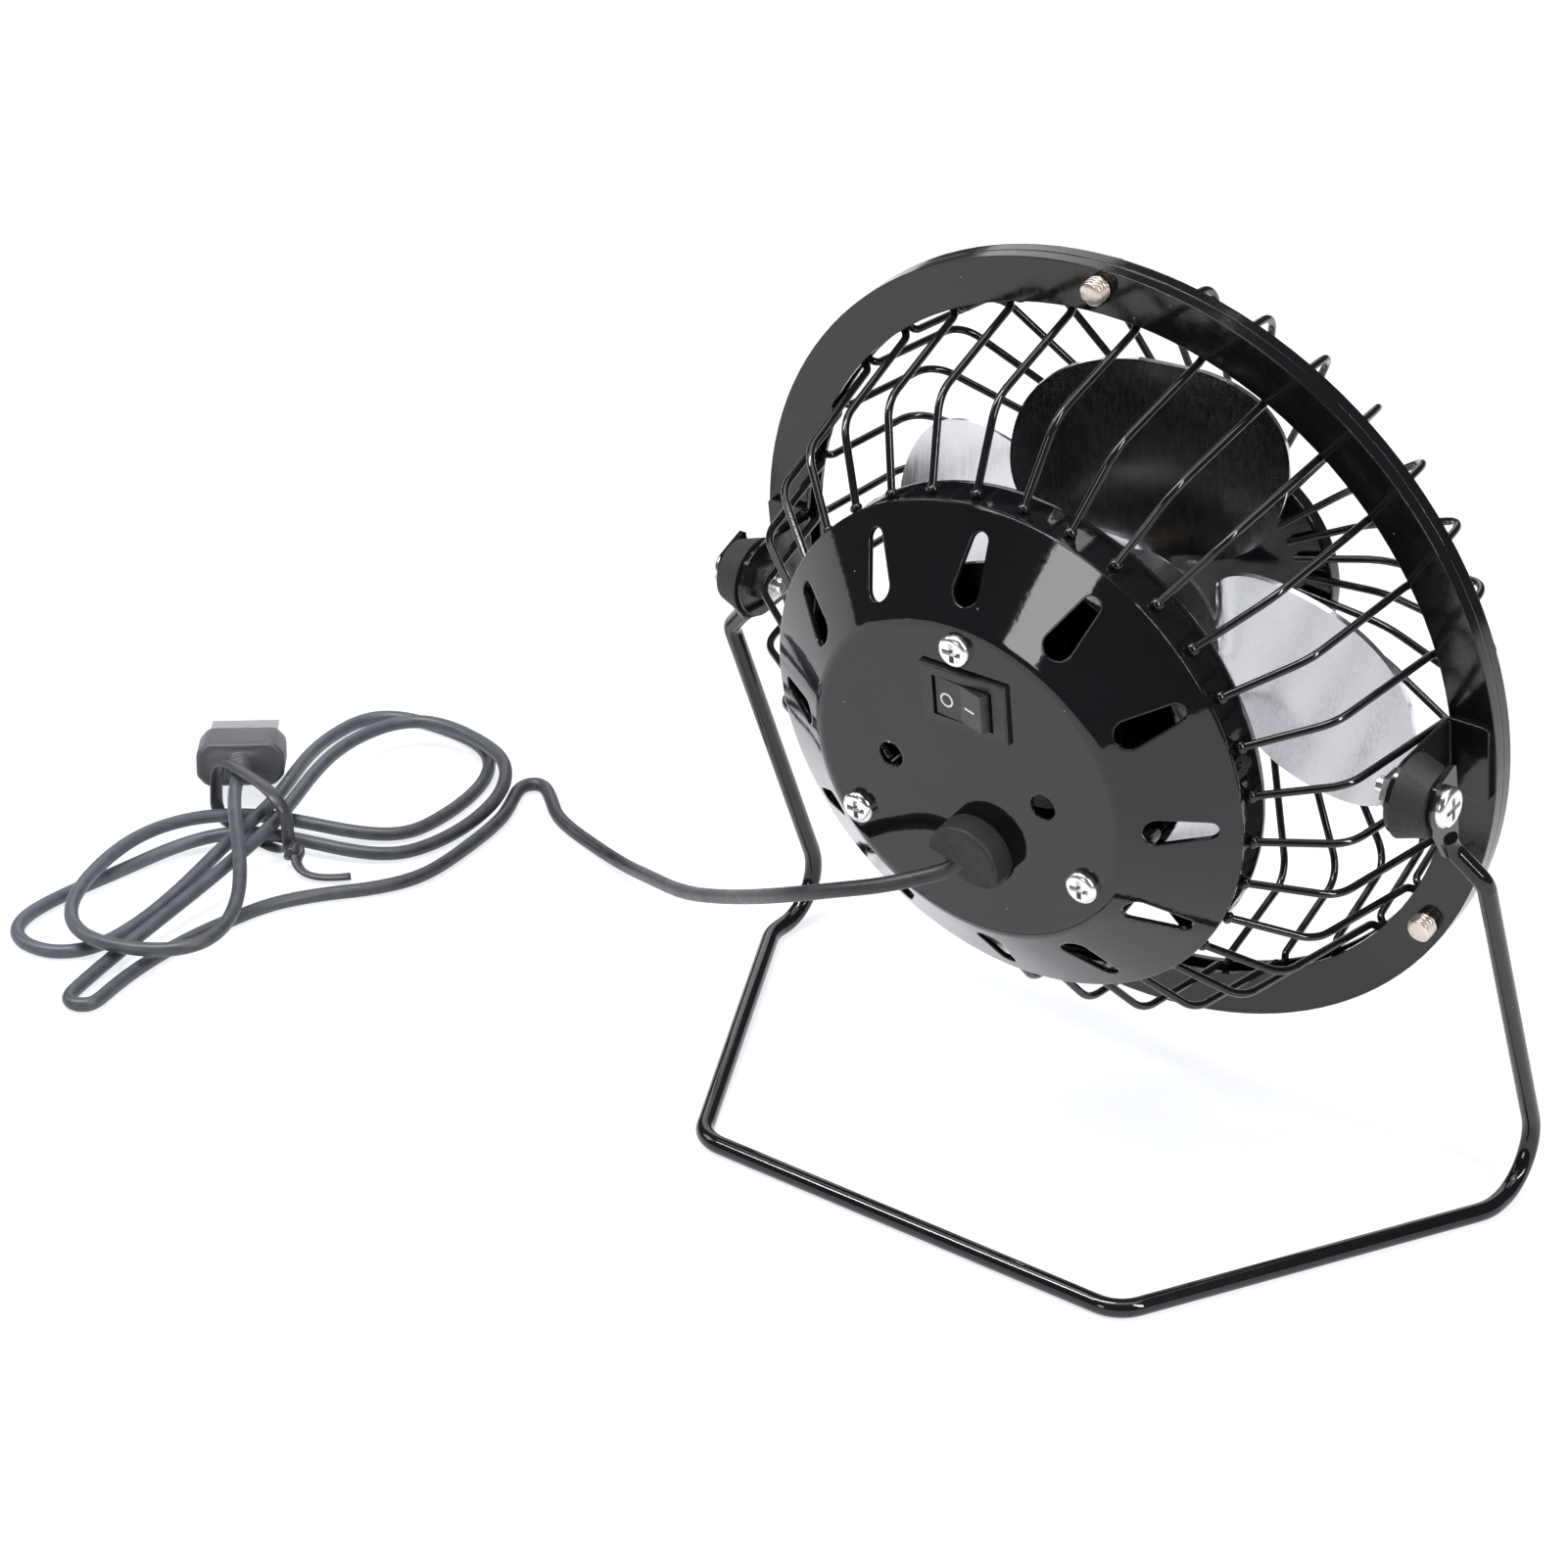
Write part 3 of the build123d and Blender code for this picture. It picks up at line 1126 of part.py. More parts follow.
with BuildPart() as cord_tie:
    with BuildSketch(tie_plane):
        RectangleRounded(TIE_WIDTH, TIE_HEIGHT, TIE_CORNER)
        RectangleRounded(TIE_WIDTH - 2 * TIE, TIE_HEIGHT - 2 * TIE, TIE_CORNER - TIE, mode=Mode.SUBTRACT)
    extrude(amount=TIE_STRAP / 2, both=True)
    with Locations(tail_points[0]):
        Sphere(TIE_KNOT_DIA / 2)
    with BuildLine() as tail_path:
        FilletPolyline(tail_points, radius=bend_radii(tail_points))
    with BuildSketch(Plane(origin=tail_points[0], z_dir=tail_points[1] - tail_points[0])):
        Circle(TIE_TAIL_DIA / 2)
    sweep()
cord_tie.part.label = "cord_tie"
export_step(cord_tie.part, "parts/cord_tie.step")


# Plug, along its own way down to the floor
def plug_plane(forward):
    """A plane across the plug: x across its width, y up its height."""
    place = relief_end + plug_way * forward
    return Plane(origin=place, x_dir=hank_heading(PLUG_HEADING - 90), z_dir=plug_way)


grip_front = RELIEF_LENGTH + GRIP_LENGTH

with BuildPart() as plug_grip:
    with BuildSketch(plug_plane(0)):
        Circle(RELIEF_END_DIA / 2)
    with BuildSketch(plug_plane(RELIEF_LENGTH)):
        Circle(RELIEF_DIA / 2)
    loft()
    with BuildSketch(plug_plane(RELIEF_LENGTH)):
        Rectangle(GRIP_WIDTH, GRIP_HEIGHT)
        chamfer(vertices(), GRIP_CHAMFER)
    extrude(amount=GRIP_LENGTH)
    with BuildSketch(plug_plane(grip_front)):
        Rectangle(SHELL_WIDTH + 2 * FIT, SHELL_HEIGHT + 2 * FIT)
    extrude(amount=-SHELL_IN_GRIP, mode=Mode.SUBTRACT)
plug_grip.part.label = "plug_grip"
export_step(plug_grip.part, "parts/plug_grip.step")

with BuildPart() as plug_shell:
    with BuildSketch(plug_plane(grip_front - SHELL_IN_GRIP)):
        Rectangle(SHELL_WIDTH, SHELL_HEIGHT)
        Rectangle(SHELL_WIDTH - 2 * SHELL_WALL, SHELL_HEIGHT - 2 * SHELL_WALL, mode=Mode.SUBTRACT)
    extrude(amount=SHELL_IN_GRIP + SHELL_LENGTH)
plug_shell.part.label = "plug_shell"
export_step(plug_shell.part, "parts/plug_shell.step")

tongue_rise = SHELL_HEIGHT / 2 - SHELL_WALL - FIT - TONGUE / 2

with BuildPart() as plug_tongue:
    with BuildSketch(plug_plane(grip_front - SHELL_IN_GRIP)):
        with Locations((0, tongue_rise)):
            Rectangle(SHELL_WIDTH - 2 * SHELL_WALL - 2 * FIT, TONGUE)
    extrude(amount=SHELL_IN_GRIP + SHELL_LENGTH - TONGUE_SETBACK)
plug_tongue.part.label = "plug_tongue"
export_step(plug_tongue.part, "parts/plug_tongue.step")
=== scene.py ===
"""Small metal desk fan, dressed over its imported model: enamel, brushed blades, cord, tie and plug.

Metres, +Z up, +Y is the way the air blows, +X is to the right seen from behind.
"""

from math import cos, radians, sin

import bpy
import numpy as np
from mathutils import Matrix, Vector


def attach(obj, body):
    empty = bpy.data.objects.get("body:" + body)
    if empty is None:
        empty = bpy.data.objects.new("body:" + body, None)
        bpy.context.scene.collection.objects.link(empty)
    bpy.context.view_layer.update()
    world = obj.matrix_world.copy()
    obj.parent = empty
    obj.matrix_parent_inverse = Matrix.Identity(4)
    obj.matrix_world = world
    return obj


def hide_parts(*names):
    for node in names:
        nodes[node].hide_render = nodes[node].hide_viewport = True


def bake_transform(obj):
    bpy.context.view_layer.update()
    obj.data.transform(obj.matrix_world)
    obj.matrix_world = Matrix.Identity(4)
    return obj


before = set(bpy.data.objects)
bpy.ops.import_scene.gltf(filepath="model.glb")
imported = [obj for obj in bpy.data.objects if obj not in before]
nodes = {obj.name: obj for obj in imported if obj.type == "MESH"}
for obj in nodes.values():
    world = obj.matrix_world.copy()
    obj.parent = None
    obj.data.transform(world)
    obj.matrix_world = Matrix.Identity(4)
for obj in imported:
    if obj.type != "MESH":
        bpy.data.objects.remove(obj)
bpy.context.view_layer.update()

MM = 0.001

# The head's own frame: x to the right, y up, z to the rear, on the fan's axis
TILT = radians(9.0)
HEAD_AXES = np.array([(1, 0, 0), (0, -sin(TILT), cos(TILT)), (0, -cos(TILT), -sin(TILT))])
PIVOT_HEIGHT, AXIS_DROP = 77, 1.3
HEAD_MIDDLE = np.array([0, AXIS_DROP * sin(TILT), PIVOT_HEIGHT - AXIS_DROP * cos(TILT)])


def head(points):
    """Places in the head's frame, in millimetres, carried to the row frame in metres."""
    return (HEAD_MIDDLE + np.asarray(points, float) @ HEAD_AXES) * MM


# Meshes worked out as whole arrays
def full_turn(count):
    """Equal angles once round."""
    return np.linspace(0, 2 * np.pi, count, endpoint=False)


def grid_faces(rows, columns, close_rows=False, close_columns=False):
    """Quads between neighbouring grid points; a closed way joins its last line to its first."""
    row = np.arange(rows if close_rows else rows - 1)
    column = np.arange(columns if close_columns else columns - 1)
    r, c = np.meshgrid(row, column, indexing="ij")
    r_next, c_next = (r + 1) % rows, (c + 1) % columns
    corners = [r * columns + c, r * columns + c_next, r_next * columns + c_next, r_next * columns + c]
    return np.stack(corners, -1).reshape(-1, 4)


def tube_faces(rows, columns):
    """Quads of a tube between rows of points, and a flat face on each end."""
    ends = [list(range(columns - 1, -1, -1)), list(range(columns * (rows - 1), columns * rows))]
    return grid_faces(rows, columns, False, True).tolist() + ends


def mesh_object(name, points, faces, smooth=True):
    """An object at the origin from point and face arrays whose faces already point outwards."""
    mesh = bpy.data.meshes.new(name)
    corners = np.asarray(points).reshape(-1, 3).tolist()
    mesh.from_pydata(corners, [], [list(map(int, face)) for face in faces])
    mesh.validate()
    if smooth:
        mesh.shade_smooth()
    else:
        mesh.shade_flat()
    piece = bpy.data.objects.new(name, mesh)
    bpy.context.scene.collection.objects.link(piece)
    return piece


def dressed(piece, body, finish, slot, *replaced):
    """A new piece with its finish, riding on a body and standing for the nodes it replaces."""
    piece.data.materials.append(finish)
    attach(piece, body)
    if replaced:
        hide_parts(*replaced)


def unit(vectors):
    """Vectors cut to length one."""
    return vectors / np.linalg.norm(vectors, axis=-1, keepdims=True)


def carried(path, side, outline, closed=False):
    """An outline carried along a path.

    At every path point the outline's first number is measured along the side vector and its second
    along the vector square to the side and the path. An open path is closed by flat ends.
    """
    ahead = np.roll(path, -1, 0) - np.roll(path, 1, 0) if closed else np.gradient(path, axis=0)
    ahead = unit(ahead)
    side = unit(side - ahead * np.sum(side * ahead, -1, keepdims=True))
    rise = np.cross(ahead, side)
    outline = np.broadcast_to(outline, (len(path), *np.shape(outline)[-2:]))
    points = path[:, None] + side[:, None] * outline[..., :1] + rise[:, None] * outline[..., 1:]
    count = outline.shape[1]
    faces = grid_faces(len(path), count, True, True) if closed else tube_faces(len(path), count)
    return points.reshape(-1, 3), [face[::-1] for face in faces]


def oval(width, height, count=12):
    """Points round an ellipse."""
    turn = full_turn(count)
    return np.stack([width / 2 * np.cos(turn), height / 2 * np.sin(turn)], -1)


# Finishes, each a small node tree on Object coordinates
class Finish:
    """A material with its shader, its Object coordinates and short ways to add nodes."""

    def __init__(self, name, colour, roughness, metallic=0.0):
        self.material = bpy.data.materials.new(name)
        self.material.use_nodes = True
        self.tree = self.material.node_tree
        self.shader = self.tree.nodes["Principled BSDF"]
        self.shader.inputs["Base Color"].default_value = (*colour, 1)
        self.shader.inputs["Roughness"].default_value = roughness
        self.shader.inputs["Metallic"].default_value = metallic
        self.place = self.tree.nodes.new("ShaderNodeTexCoord").outputs["Object"]

    def node(self, kind, inputs=None, **settings):
        """A node with its settings; inputs may be numbers, colours or other nodes' outputs."""
        made = self.tree.nodes.new(kind)
        for key, value in settings.items():
            setattr(made, key, value)
        for key, value in (inputs or {}).items():
            if isinstance(value, bpy.types.NodeSocket):
                self.tree.links.new(value, made.inputs[key])
            else:
                made.inputs[key].default_value = value
        return made

    def stretched(self, scale):
        """The coordinates stretched, for streaks."""
        return self.node("ShaderNodeMapping", {"Vector": self.place, "Scale": scale}).outputs[0]

    def noise(self, scale, detail, vector=None):
        """Soft noise between 0 and 1."""
        inputs = {"Vector": vector or self.place, "Scale": scale, "Detail": detail}
        return self.node("ShaderNodeTexNoise", inputs).outputs[0]

    def span(self, value, low, high, start=0.3, end=0.7):
        """A value between start and end carried to low and high."""
        inputs = {"Value": value, "From Min": start, "From Max": end, "To Min": low, "To Max": high}
        return self.node("ShaderNodeMapRange", inputs).outputs[0]

    def maths(self, operation, first, second):
        """One sum or test of two values."""
        return self.node("ShaderNodeMath", {0: first, 1: second}, operation=operation).outputs[0]

    def mixed(self, share, first, second):
        """Two colours mixed by a share."""
        inputs = {"Factor": share, "A": first, "B": second}
        return self.node("ShaderNodeMix", inputs, data_type="RGBA").outputs["Result"]

    def colours(self, value, stops):
        """Colours along a ramp."""
        ramp = self.node("ShaderNodeValToRGB", {"Fac": value})
        bar = ramp.color_ramp.elements
        while len(bar) < len(stops):
            bar.new(0.5)
        for element, (position, colour) in zip(bar, stops):
            element.position = position
            element.color = (*colour, 1)
        return ramp.outputs[0]

    def bump(self, height, strength, distance, normal=None):
        """Small relief from a height."""
        inputs = {"Height": height, "Strength": strength, "Distance": distance}
        if normal:
            inputs["Normal"] = normal
        return self.node("ShaderNodeBump", inputs).outputs[0]

    def feed(self, socket, value):
        """A node's output into one of the shader's sockets."""
        self.tree.links.new(value, self.shader.inputs[socket])


def enamel(name, colour, roughness, edge, wave):
    """Black stoved enamel: deep gloss, orange peel, slow waves, softened edges and a few dust specks."""
    paint = Finish(name, colour, roughness)
    slow = paint.noise(38.0, 2.0)
    peel = paint.noise(900.0, 2.0)
    dust = paint.node("ShaderNodeTexVoronoi", {"Vector": paint.place, "Scale": 330.0})
    speck = paint.maths("LESS_THAN", dust.outputs["Distance"], 0.045)
    rare = paint.node("ShaderNodeSeparateColor", {"Color": dust.outputs["Color"]}).outputs[0]
    dusty = paint.maths("MULTIPLY", speck, paint.maths("GREATER_THAN", rare, 0.86))
    deep = tuple(0.6 * part for part in colour)
    shade = paint.colours(slow, ((0.3, deep), (0.7, colour)))
    paint.feed("Base Color", paint.mixed(dusty, shade, (0.2, 0.2, 0.2, 1)))
    paint.feed("Roughness", paint.span(peel, roughness * 0.7, roughness * 1.4))
    soft = paint.node("ShaderNodeBevel", {"Radius": edge}, samples=6).outputs[0] if edge else None
    waves = paint.bump(slow, wave, 0.004, soft)
    paint.feed("Normal", paint.bump(peel, 0.03, 0.0002, waves))
    return paint.material


def brushed(name, colour, low, high, streak):
    """Bare metal with fine drawn streaks and smudges in its gloss."""
    metal = Finish(name, colour, high, 1.0)
    fine = metal.noise(1.0, 4.0, metal.stretched(streak))
    smudge = metal.noise(70.0, 4.0)
    metal.feed("Roughness", metal.span(metal.maths("ADD", fine, smudge), low, high, 0.7, 1.3))
    dull = tuple(0.9 * part for part in colour)
    metal.feed("Base Color", metal.colours(fine, ((0.3, dull), (0.65, colour))))
    return metal.material


def moulded(name, colour, roughness, grain, depth):
    """Plastic or rubber with a fine moulded grain and slight colour drift."""
    plastic = Finish(name, colour, roughness)
    fine = plastic.noise(grain, 3.0)
    drift = plastic.noise(90.0, 2.0)
    dark = tuple(0.7 * part for part in colour)
    light = tuple(1.25 * part for part in colour)
    plastic.feed("Base Color", plastic.colours(drift, ((0.3, dark), (0.7, light))))
    plastic.feed("Roughness", plastic.span(fine, roughness * 0.85, min(1, roughness * 1.15)))
    plastic.feed("Normal", plastic.bump(fine, depth, 0.0002))
    return plastic.material


def jacket(name):
    """The cord's satin jacket with faint scuffs, painted darker by the fan and paler over the hank:
    painted light along one cord of one colour.
    """
    cover = Finish(name, (0.02, 0.021, 0.024), 0.42)
    along = cover.node("ShaderNodeSeparateXYZ", {"Vector": cover.place}).outputs["X"]
    # Painted light: a share rising from the lead to the hank by x place, mixing the dark painted shade
    # into the pale painted light
    painted_light_share = cover.span(along, 1.0, 0.0, -0.165, -0.105)
    scuff = cover.noise(420.0, 3.0)
    lead_scuffs_painted_dark = cover.colours(scuff, ((0.35, (0.012, 0.012, 0.014)), (0.65, (0.022, 0.023, 0.026))))
    hank_scuffs_painted_light = cover.colours(scuff, ((0.35, (0.06, 0.065, 0.078)), (0.65, (0.078, 0.084, 0.1))))
    cover.feed("Base Color", cover.mixed(painted_light_share, lead_scuffs_painted_dark, hank_scuffs_painted_light))
    cover.feed("Roughness", cover.span(scuff, 0.36, 0.5))
    cover.feed("Normal", cover.bump(scuff, 0.08, 0.0001))
    return cover.material


gloss_black = enamel("gloss_black_enamel", (0.006, 0.006, 0.0075), 0.05, 0.0004, 0.05)
ring_black = enamel("ring_black_enamel", (0.006, 0.006, 0.0075), 0.11, 0.0003, 0.03)
rod_black = enamel("rod_black_enamel", (0.007, 0.007, 0.008), 0.09, 0, 0.02)
blade_sheet = brushed("brushed_blade_sheet", (0.7, 0.7, 0.72), 0.16, 0.26, (2600, 2600, 140))
brown_zinc = brushed("brownish_zinc", (0.72, 0.64, 0.57), 0.2, 0.4, (500, 500, 500))
zinc_plate = brushed("bright_zinc_plate", (0.82, 0.82, 0.8), 0.14, 0.32, (500, 500, 500))
plain_steel = brushed("plain_steel", (0.5, 0.5, 0.5), 0.25, 0.4, (300, 300, 40))
bright_shell = brushed("bright_plug_shell", (0.85, 0.85, 0.85), 0.12, 0.25, (700, 60, 60))
bronze = brushed("bronze_and_copper", (0.6, 0.4, 0.2), 0.3, 0.45, (300, 300, 300))
black_rubber = moulded("black_rubber", (0.012, 0.012, 0.012), 0.62, 1500.0, 0.3)
switch_black = moulded("switch_black", (0.014, 0.014, 0.016), 0.34, 2200.0, 0.12)
hub_black = moulded("hub_black", (0.015, 0.015, 0.015), 0.5, 1600.0, 0.2)
ferrite = moulded("dark_ferrite", (0.05, 0.05, 0.055), 0.6, 1800.0, 0.2)
grip_grey = moulded("grip_grey", (0.066, 0.069, 0.08), 0.45, 1900.0, 0.22)
strap_black = moulded("strap_black", (0.04, 0.042, 0.048), 0.36, 1500.0, 0.15)
tongue_white = moulded("tongue_white", (0.7, 0.7, 0.68), 0.45, 1500.0, 0.1)
mark_white = moulded("mark_white", (0.75, 0.75, 0.75), 0.5, 1500.0, 0.05)
cord_jacket = jacket("cord_jacket")

finishes = {
    gloss_black: ("rear_cover", "motor_cup", "front_disc"),
    ring_black: ("rear_ring", "front_ring", "pivot_bracket_left", "pivot_bracket_right"),
    rod_black: ("stand_rod", "rear_wires", "front_wires"),
    blade_sheet: ("fan_blades",),
    zinc_plate: (
        "cover_screw_1", "cover_screw_2", "cover_screw_3", "pivot_screw_left", "pivot_screw_right",
        "pivot_nut_left", "pivot_nut_right", "motor_screw_1", "motor_screw_2", "fan_washer",
    ),
    brown_zinc: ("guard_screw_1", "guard_screw_2", "guard_screw_3"),
    plain_steel: ("motor_can", "motor_cap", "motor_shaft", "armature_core"),
    bronze: (
        "switch_terminals", "motor_bearing_front", "motor_bearing_rear",
        "commutator", "armature_windings",
    ),
    black_rubber: ("pivot_bush_left", "pivot_bush_right", "cable_grommet"),
    switch_black: ("switch_body", "switch_rocker"),
    hub_black: ("fan_hub",),
    ferrite: ("motor_magnets", "motor_brushes"),
    grip_grey: ("plug_grip",),
    strap_black: ("cord_tie",),
    bright_shell: ("plug_shell",),
    tongue_white: ("plug_tongue",),
    cord_jacket: ("cord_lead", "cord_hank"),
}
for finish, names in finishes.items():
    for name in names:
        nodes[name].data.materials.clear()
        nodes[name].data.materials.append(finish)

# Cord: one spline from the grommet over the floor and through the hank to the plug
CORD_DIA = 2.4
LEAD_POINTS = (
    (1.87, -26.85, 60.56),
    (0.2, -27.2, 58.6),
    (-1.7, -27.8, 56.5),
    (-4.4, -29.3, 55.2),
    (-10.1, -32.8, 53.1),
    (-18.3, -34.1, 50.0),
    (-30.0, -31.8, 44.0),
    (-49.0, -18.2, 31.0),
    (-70.0, -3.6, 17.9),
    (-89.2, 11.2, 8.0),
    (-98.8, 18.0, 3.4),
    (-108.0, 22.5, 1.3),
    (-121.5, 26.6, 1.3),
    (-127.2, 31.6, 1.3),
    (-130.8, 34.6, 1.3),
    (-133.2, 35.0, 1.3),
    (-134.6, 33.2, 1.3),
    (-134.2, 30.4, 1.3),
    (-132.0, 26.2, 1.3),
    (-129.4, 20.0, 1.3),
    (-127.6, 8.2, 1.3),
    (-126.9, -3.2, 1.3),
    (-130.6, -11.4, 1.3),
    (-136.8, -18.8, 1.3),
    (-141.2, -26.6, 1.3),
)
HANK_WAIST = (-158.4, -12.2)
HANK_BEARING = 78.6
LAYERS = {"floor": 1.3, "lifted": 4.8, "leaning": 5.6, "under": 2.9, "over": 6.1, "top": 10.2}
CORD_STEP, CORD_STEPS_MOST = 3.5, 14
PLUG_HEADING, PLUG_DROP = 52.0, 13.5
PLUG_RELIEF_END = (3.6, 8.4, 9.8)


def hank_point(along, across, height):
    """A place along and across the hank, in millimetres in the row frame."""
    turn = radians(HANK_BEARING)
    x = HANK_WAIST[0] + along * cos(turn) - across * sin(turn)
    y = HANK_WAIST[1] + along * sin(turn) + across * cos(turn)
    return np.array([x, y, height])


def hank_way(heading, drop=0.0):
    """A direction by its heading in the hank's frame and its fall below the level."""
    turn, fall = radians(HANK_BEARING + heading), radians(drop)
    return np.array([cos(turn) * cos(fall), sin(turn) * cos(fall), -sin(fall)])


def lobe(bearing, along, across, layer, heading):
    """A place and way on a loop whose length points along a bearing."""
    turn = radians(bearing)
    place = along * cos(turn) - across * sin(turn), along * sin(turn) + across * cos(turn)
    return hank_point(*place, LAYERS[layer]), hank_way(bearing + heading)


def loop(reach, half_width, bearing, widest, layers):
    """One side, the tip and the other side of a loop of the hank."""
    turn = -1 if abs(bearing) < 90 else 1
    yield lobe(bearing, widest[0] * reach, -turn * half_width, layers[0], 0)
    yield lobe(bearing, reach, 0, layers[1], turn * 90)
    yield lobe(bearing, widest[1] * reach, turn * half_width, layers[2], 180)


def eased(start, start_way, end, end_way):
    """Points of a cubic that leaves one place along its way and arrives at the next along its own."""
    length = np.linalg.norm(end - start)
    count = int(np.clip(length / CORD_STEP, 2, CORD_STEPS_MOST))
    t = (np.arange(count) / count)[:, None]
    pull = length * (1.17 - 0.17 * start_way @ end_way)
    return (
        (2 * t**3 - 3 * t**2 + 1) * start
        + (t**3 - 2 * t**2 + t) * pull * start_way
        + (3 * t**2 - 2 * t**3) * end
        + (t**3 - t**2) * pull * end_way
    )


def hank_route():
    """The fold, then four loops with a pass through the waist before each, then the plug."""
    passes = (
        ((0.0, -5.2), "over", 27.0, (49.5, 18.5, -6.0, (0.80, 0.45), ("lifted", "lifted", "floor"))),
        ((0.8, -0.3), "under", 131.0, (49.5, 8.5, 186.0, (0.40, 0.82), ("floor", "floor", "floor"))),
        ((0.0, -0.9), "over", 23.0, (53.0, 18.5, 8.0, (0.83, 0.45), ("floor", "floor", "floor"))),
        ((4.8, 4.6), "under", 131.0, (46.0, 15.5, 203.0, (0.40, 0.80), ("lifted", "lifted", "leaning"))),
    )
    start = hank_point(-20.0, -20.0, LAYERS["floor"])
    way = start - np.array(LEAD_POINTS[-1])
    stations = [(start, way / np.linalg.norm(way))]
    fold = ((57.4, 2.6, 0), (60.0, 0, -90), (57.4, -2.6, 180))
    stations += [lobe(206.0, along, across, "floor", heading) for along, across, heading in fold]
    for place, layer, heading, shape in passes:
        stations.append((hank_point(*place, LAYERS[layer]), hank_way(heading)))
        stations += loop(*shape)
    stations.append((hank_point(-1.5, 2.3, LAYERS["top"]), hank_way(52.0)))
    plug_way = hank_way(PLUG_HEADING, PLUG_DROP)
    stations.append((hank_point(*PLUG_RELIEF_END), plug_way))
    spans = [eased(*first, *second) for first, second in zip(stations, stations[1:])]
    return np.concatenate([*spans, [stations[-1][0]]])


cord_points = np.concatenate([np.array(LEAD_POINTS), hank_route()]) * MM


def cord_tube(name, points, diameter):
    """A round cord as a mesh along one NURBS spline of order 3 through its end points.

    The spline's own line, without its thickness, is given with it.
    """
    curve = bpy.data.curves.new(name, "CURVE")
    curve.dimensions = "3D"
    curve.resolution_u = 4
    spline = curve.splines.new("NURBS")
    spline.points.add(len(points) - 1)
    spline.points.foreach_set("co", np.column_stack([points, np.ones(len(points))]).ravel())
    spline.order_u = 3
    spline.use_endpoint_u = True
    route = bpy.data.objects.new(name + "_route", curve)
    line = bpy.data.meshes.new_from_object(route)
    path = np.empty(3 * len(line.vertices))
    line.vertices.foreach_get("co", path)
    curve.bevel_depth = diameter / 2
    curve.bevel_resolution = 5
    curve.use_fill_caps = True
    tube = bpy.data.meshes.new_from_object(route)
    tube.name = name
    tube.shade_smooth()
    bpy.data.objects.remove(route)
    bpy.data.curves.remove(curve)
    bpy.data.meshes.remove(line)
    piece = bpy.data.objects.new(name, tube)
    bpy.context.scene.collection.objects.link(piece)
    return piece, path.reshape(-1, 3)


# Tie: a strap round the waist, its knot and its loose tail
TIE_ALONG, TIE_MIDDLE = 2.0, 2.4
TIE_WIDTH, TIE_HEIGHT, TIE_CORNERS = 22.0, 12.9, 0.55
TIE_STRAP, TIE_THICK = 2.6, 1.0
KNOT_PLACE, KNOT_SIZE = (2.0, -10.2, 2.6), (0.5, 0.42, 0.5)
KNOT_STRAND, TAIL_STRAND = (1.7, 1.1), (2.0, 1.1)
TAIL_GUIDES = ((2.0, -10.2, 3.0), (-1.0, -13.6, 0.6), (0.4, -17.4, 0.95), (6.0, -20.4, 0.95))


def hank_points(places):
    """Many places along, across and above the hank, in metres."""
    return hank_point(*np.asarray(places, float).T).T * MM


def strap_loop(count=96):
    """A rounded box round the waist, a power of cosine and sine, that leans a little over the top."""
    turn = full_turn(count)
    across = np.sign(np.cos(turn)) * np.abs(np.cos(turn)) ** TIE_CORNERS * (TIE_WIDTH - TIE_THICK) / 2
    height = np.sign(np.sin(turn)) * np.abs(np.sin(turn)) ** TIE_CORNERS * (TIE_HEIGHT - TIE_THICK) / 2
    along = TIE_ALONG + 0.5 * np.sin(2 * turn)
    return np.stack([along, TIE_MIDDLE + across, TIE_HEIGHT / 2 + height], -1)


def knot_loop(count=72):
    """A closed overhand knot, from sines of one, two and three turns."""
    turn = full_turn(count)
    along = np.sin(turn) + 2 * np.sin(2 * turn)
    across = np.cos(turn) - 2 * np.cos(2 * turn)
    knot = np.stack([along, across, -1.4 * np.sin(3 * turn)], -1)
    return np.array(KNOT_PLACE) + knot * KNOT_SIZE


def tail_line(count=28):
    """The cubic drawn by four guide points from the knot out along the floor."""
    t = np.linspace(0, 1, count)[:, None]
    weights = np.concatenate([(1 - t) ** 3, 3 * t * (1 - t) ** 2, 3 * t**2 * (1 - t), t**3], -1)
    return weights @ np.array(TAIL_GUIDES)


strap_path = hank_points(strap_loop())
strap_side = np.broadcast_to(hank_way(0), strap_path.shape)
strap_outline = oval(TIE_STRAP * MM, TIE_THICK * MM, 16)
tie_strap = mesh_object("tie_strap", *carried(strap_path, strap_side, strap_outline, closed=True))
dressed(tie_strap, "stand", strap_black, "tie_plastic", "cord_tie")
knot_path = hank_points(knot_loop())
knot_side = np.broadcast_to([0.3, 0.2, 1.0], knot_path.shape)
knot_outline = oval(*KNOT_STRAND) * MM
tie_knot = mesh_object("tie_knot", *carried(knot_path, knot_side, knot_outline, closed=True))
dressed(tie_knot, "stand", strap_black, "tie_plastic")
tail_path = hank_points(tail_line())
tail_lean = np.linspace(0.5, 0.0, len(tail_path))[:, None]
tail_way = np.gradient(tail_path, axis=0)
tail_side = np.concatenate([tail_way[:, 1:2], -tail_way[:, :1], 0 * tail_lean], -1)
tail_side = unit(tail_side) + tail_lean * [0, 0, 1]
tie_tail = mesh_object("tie_tail", *carried(tail_path, tail_side, oval(*TAIL_STRAND) * MM))
dressed(tie_tail, "stand", strap_black, "tie_plastic")

# Plug moulding: a ribbed relief that opens into a chamfered grip
GRIP_HALF = (7.7, 3.9)
GRIP_CHAMFER, CHAMFER_POWER = 1.8, 40
RELIEF_LENGTH, GRIP_LENGTH = 7.0, 12.0
RELIEF_R, RELIEF_FLARE = 1.62, 0.5
RIB_HEIGHT, RIB_PITCH = 0.28, 1.75
GRIP_BACK_ROUND, GRIP_FRONT_ROUND = 0.9, 0.5
PLUG_COUNT = 72


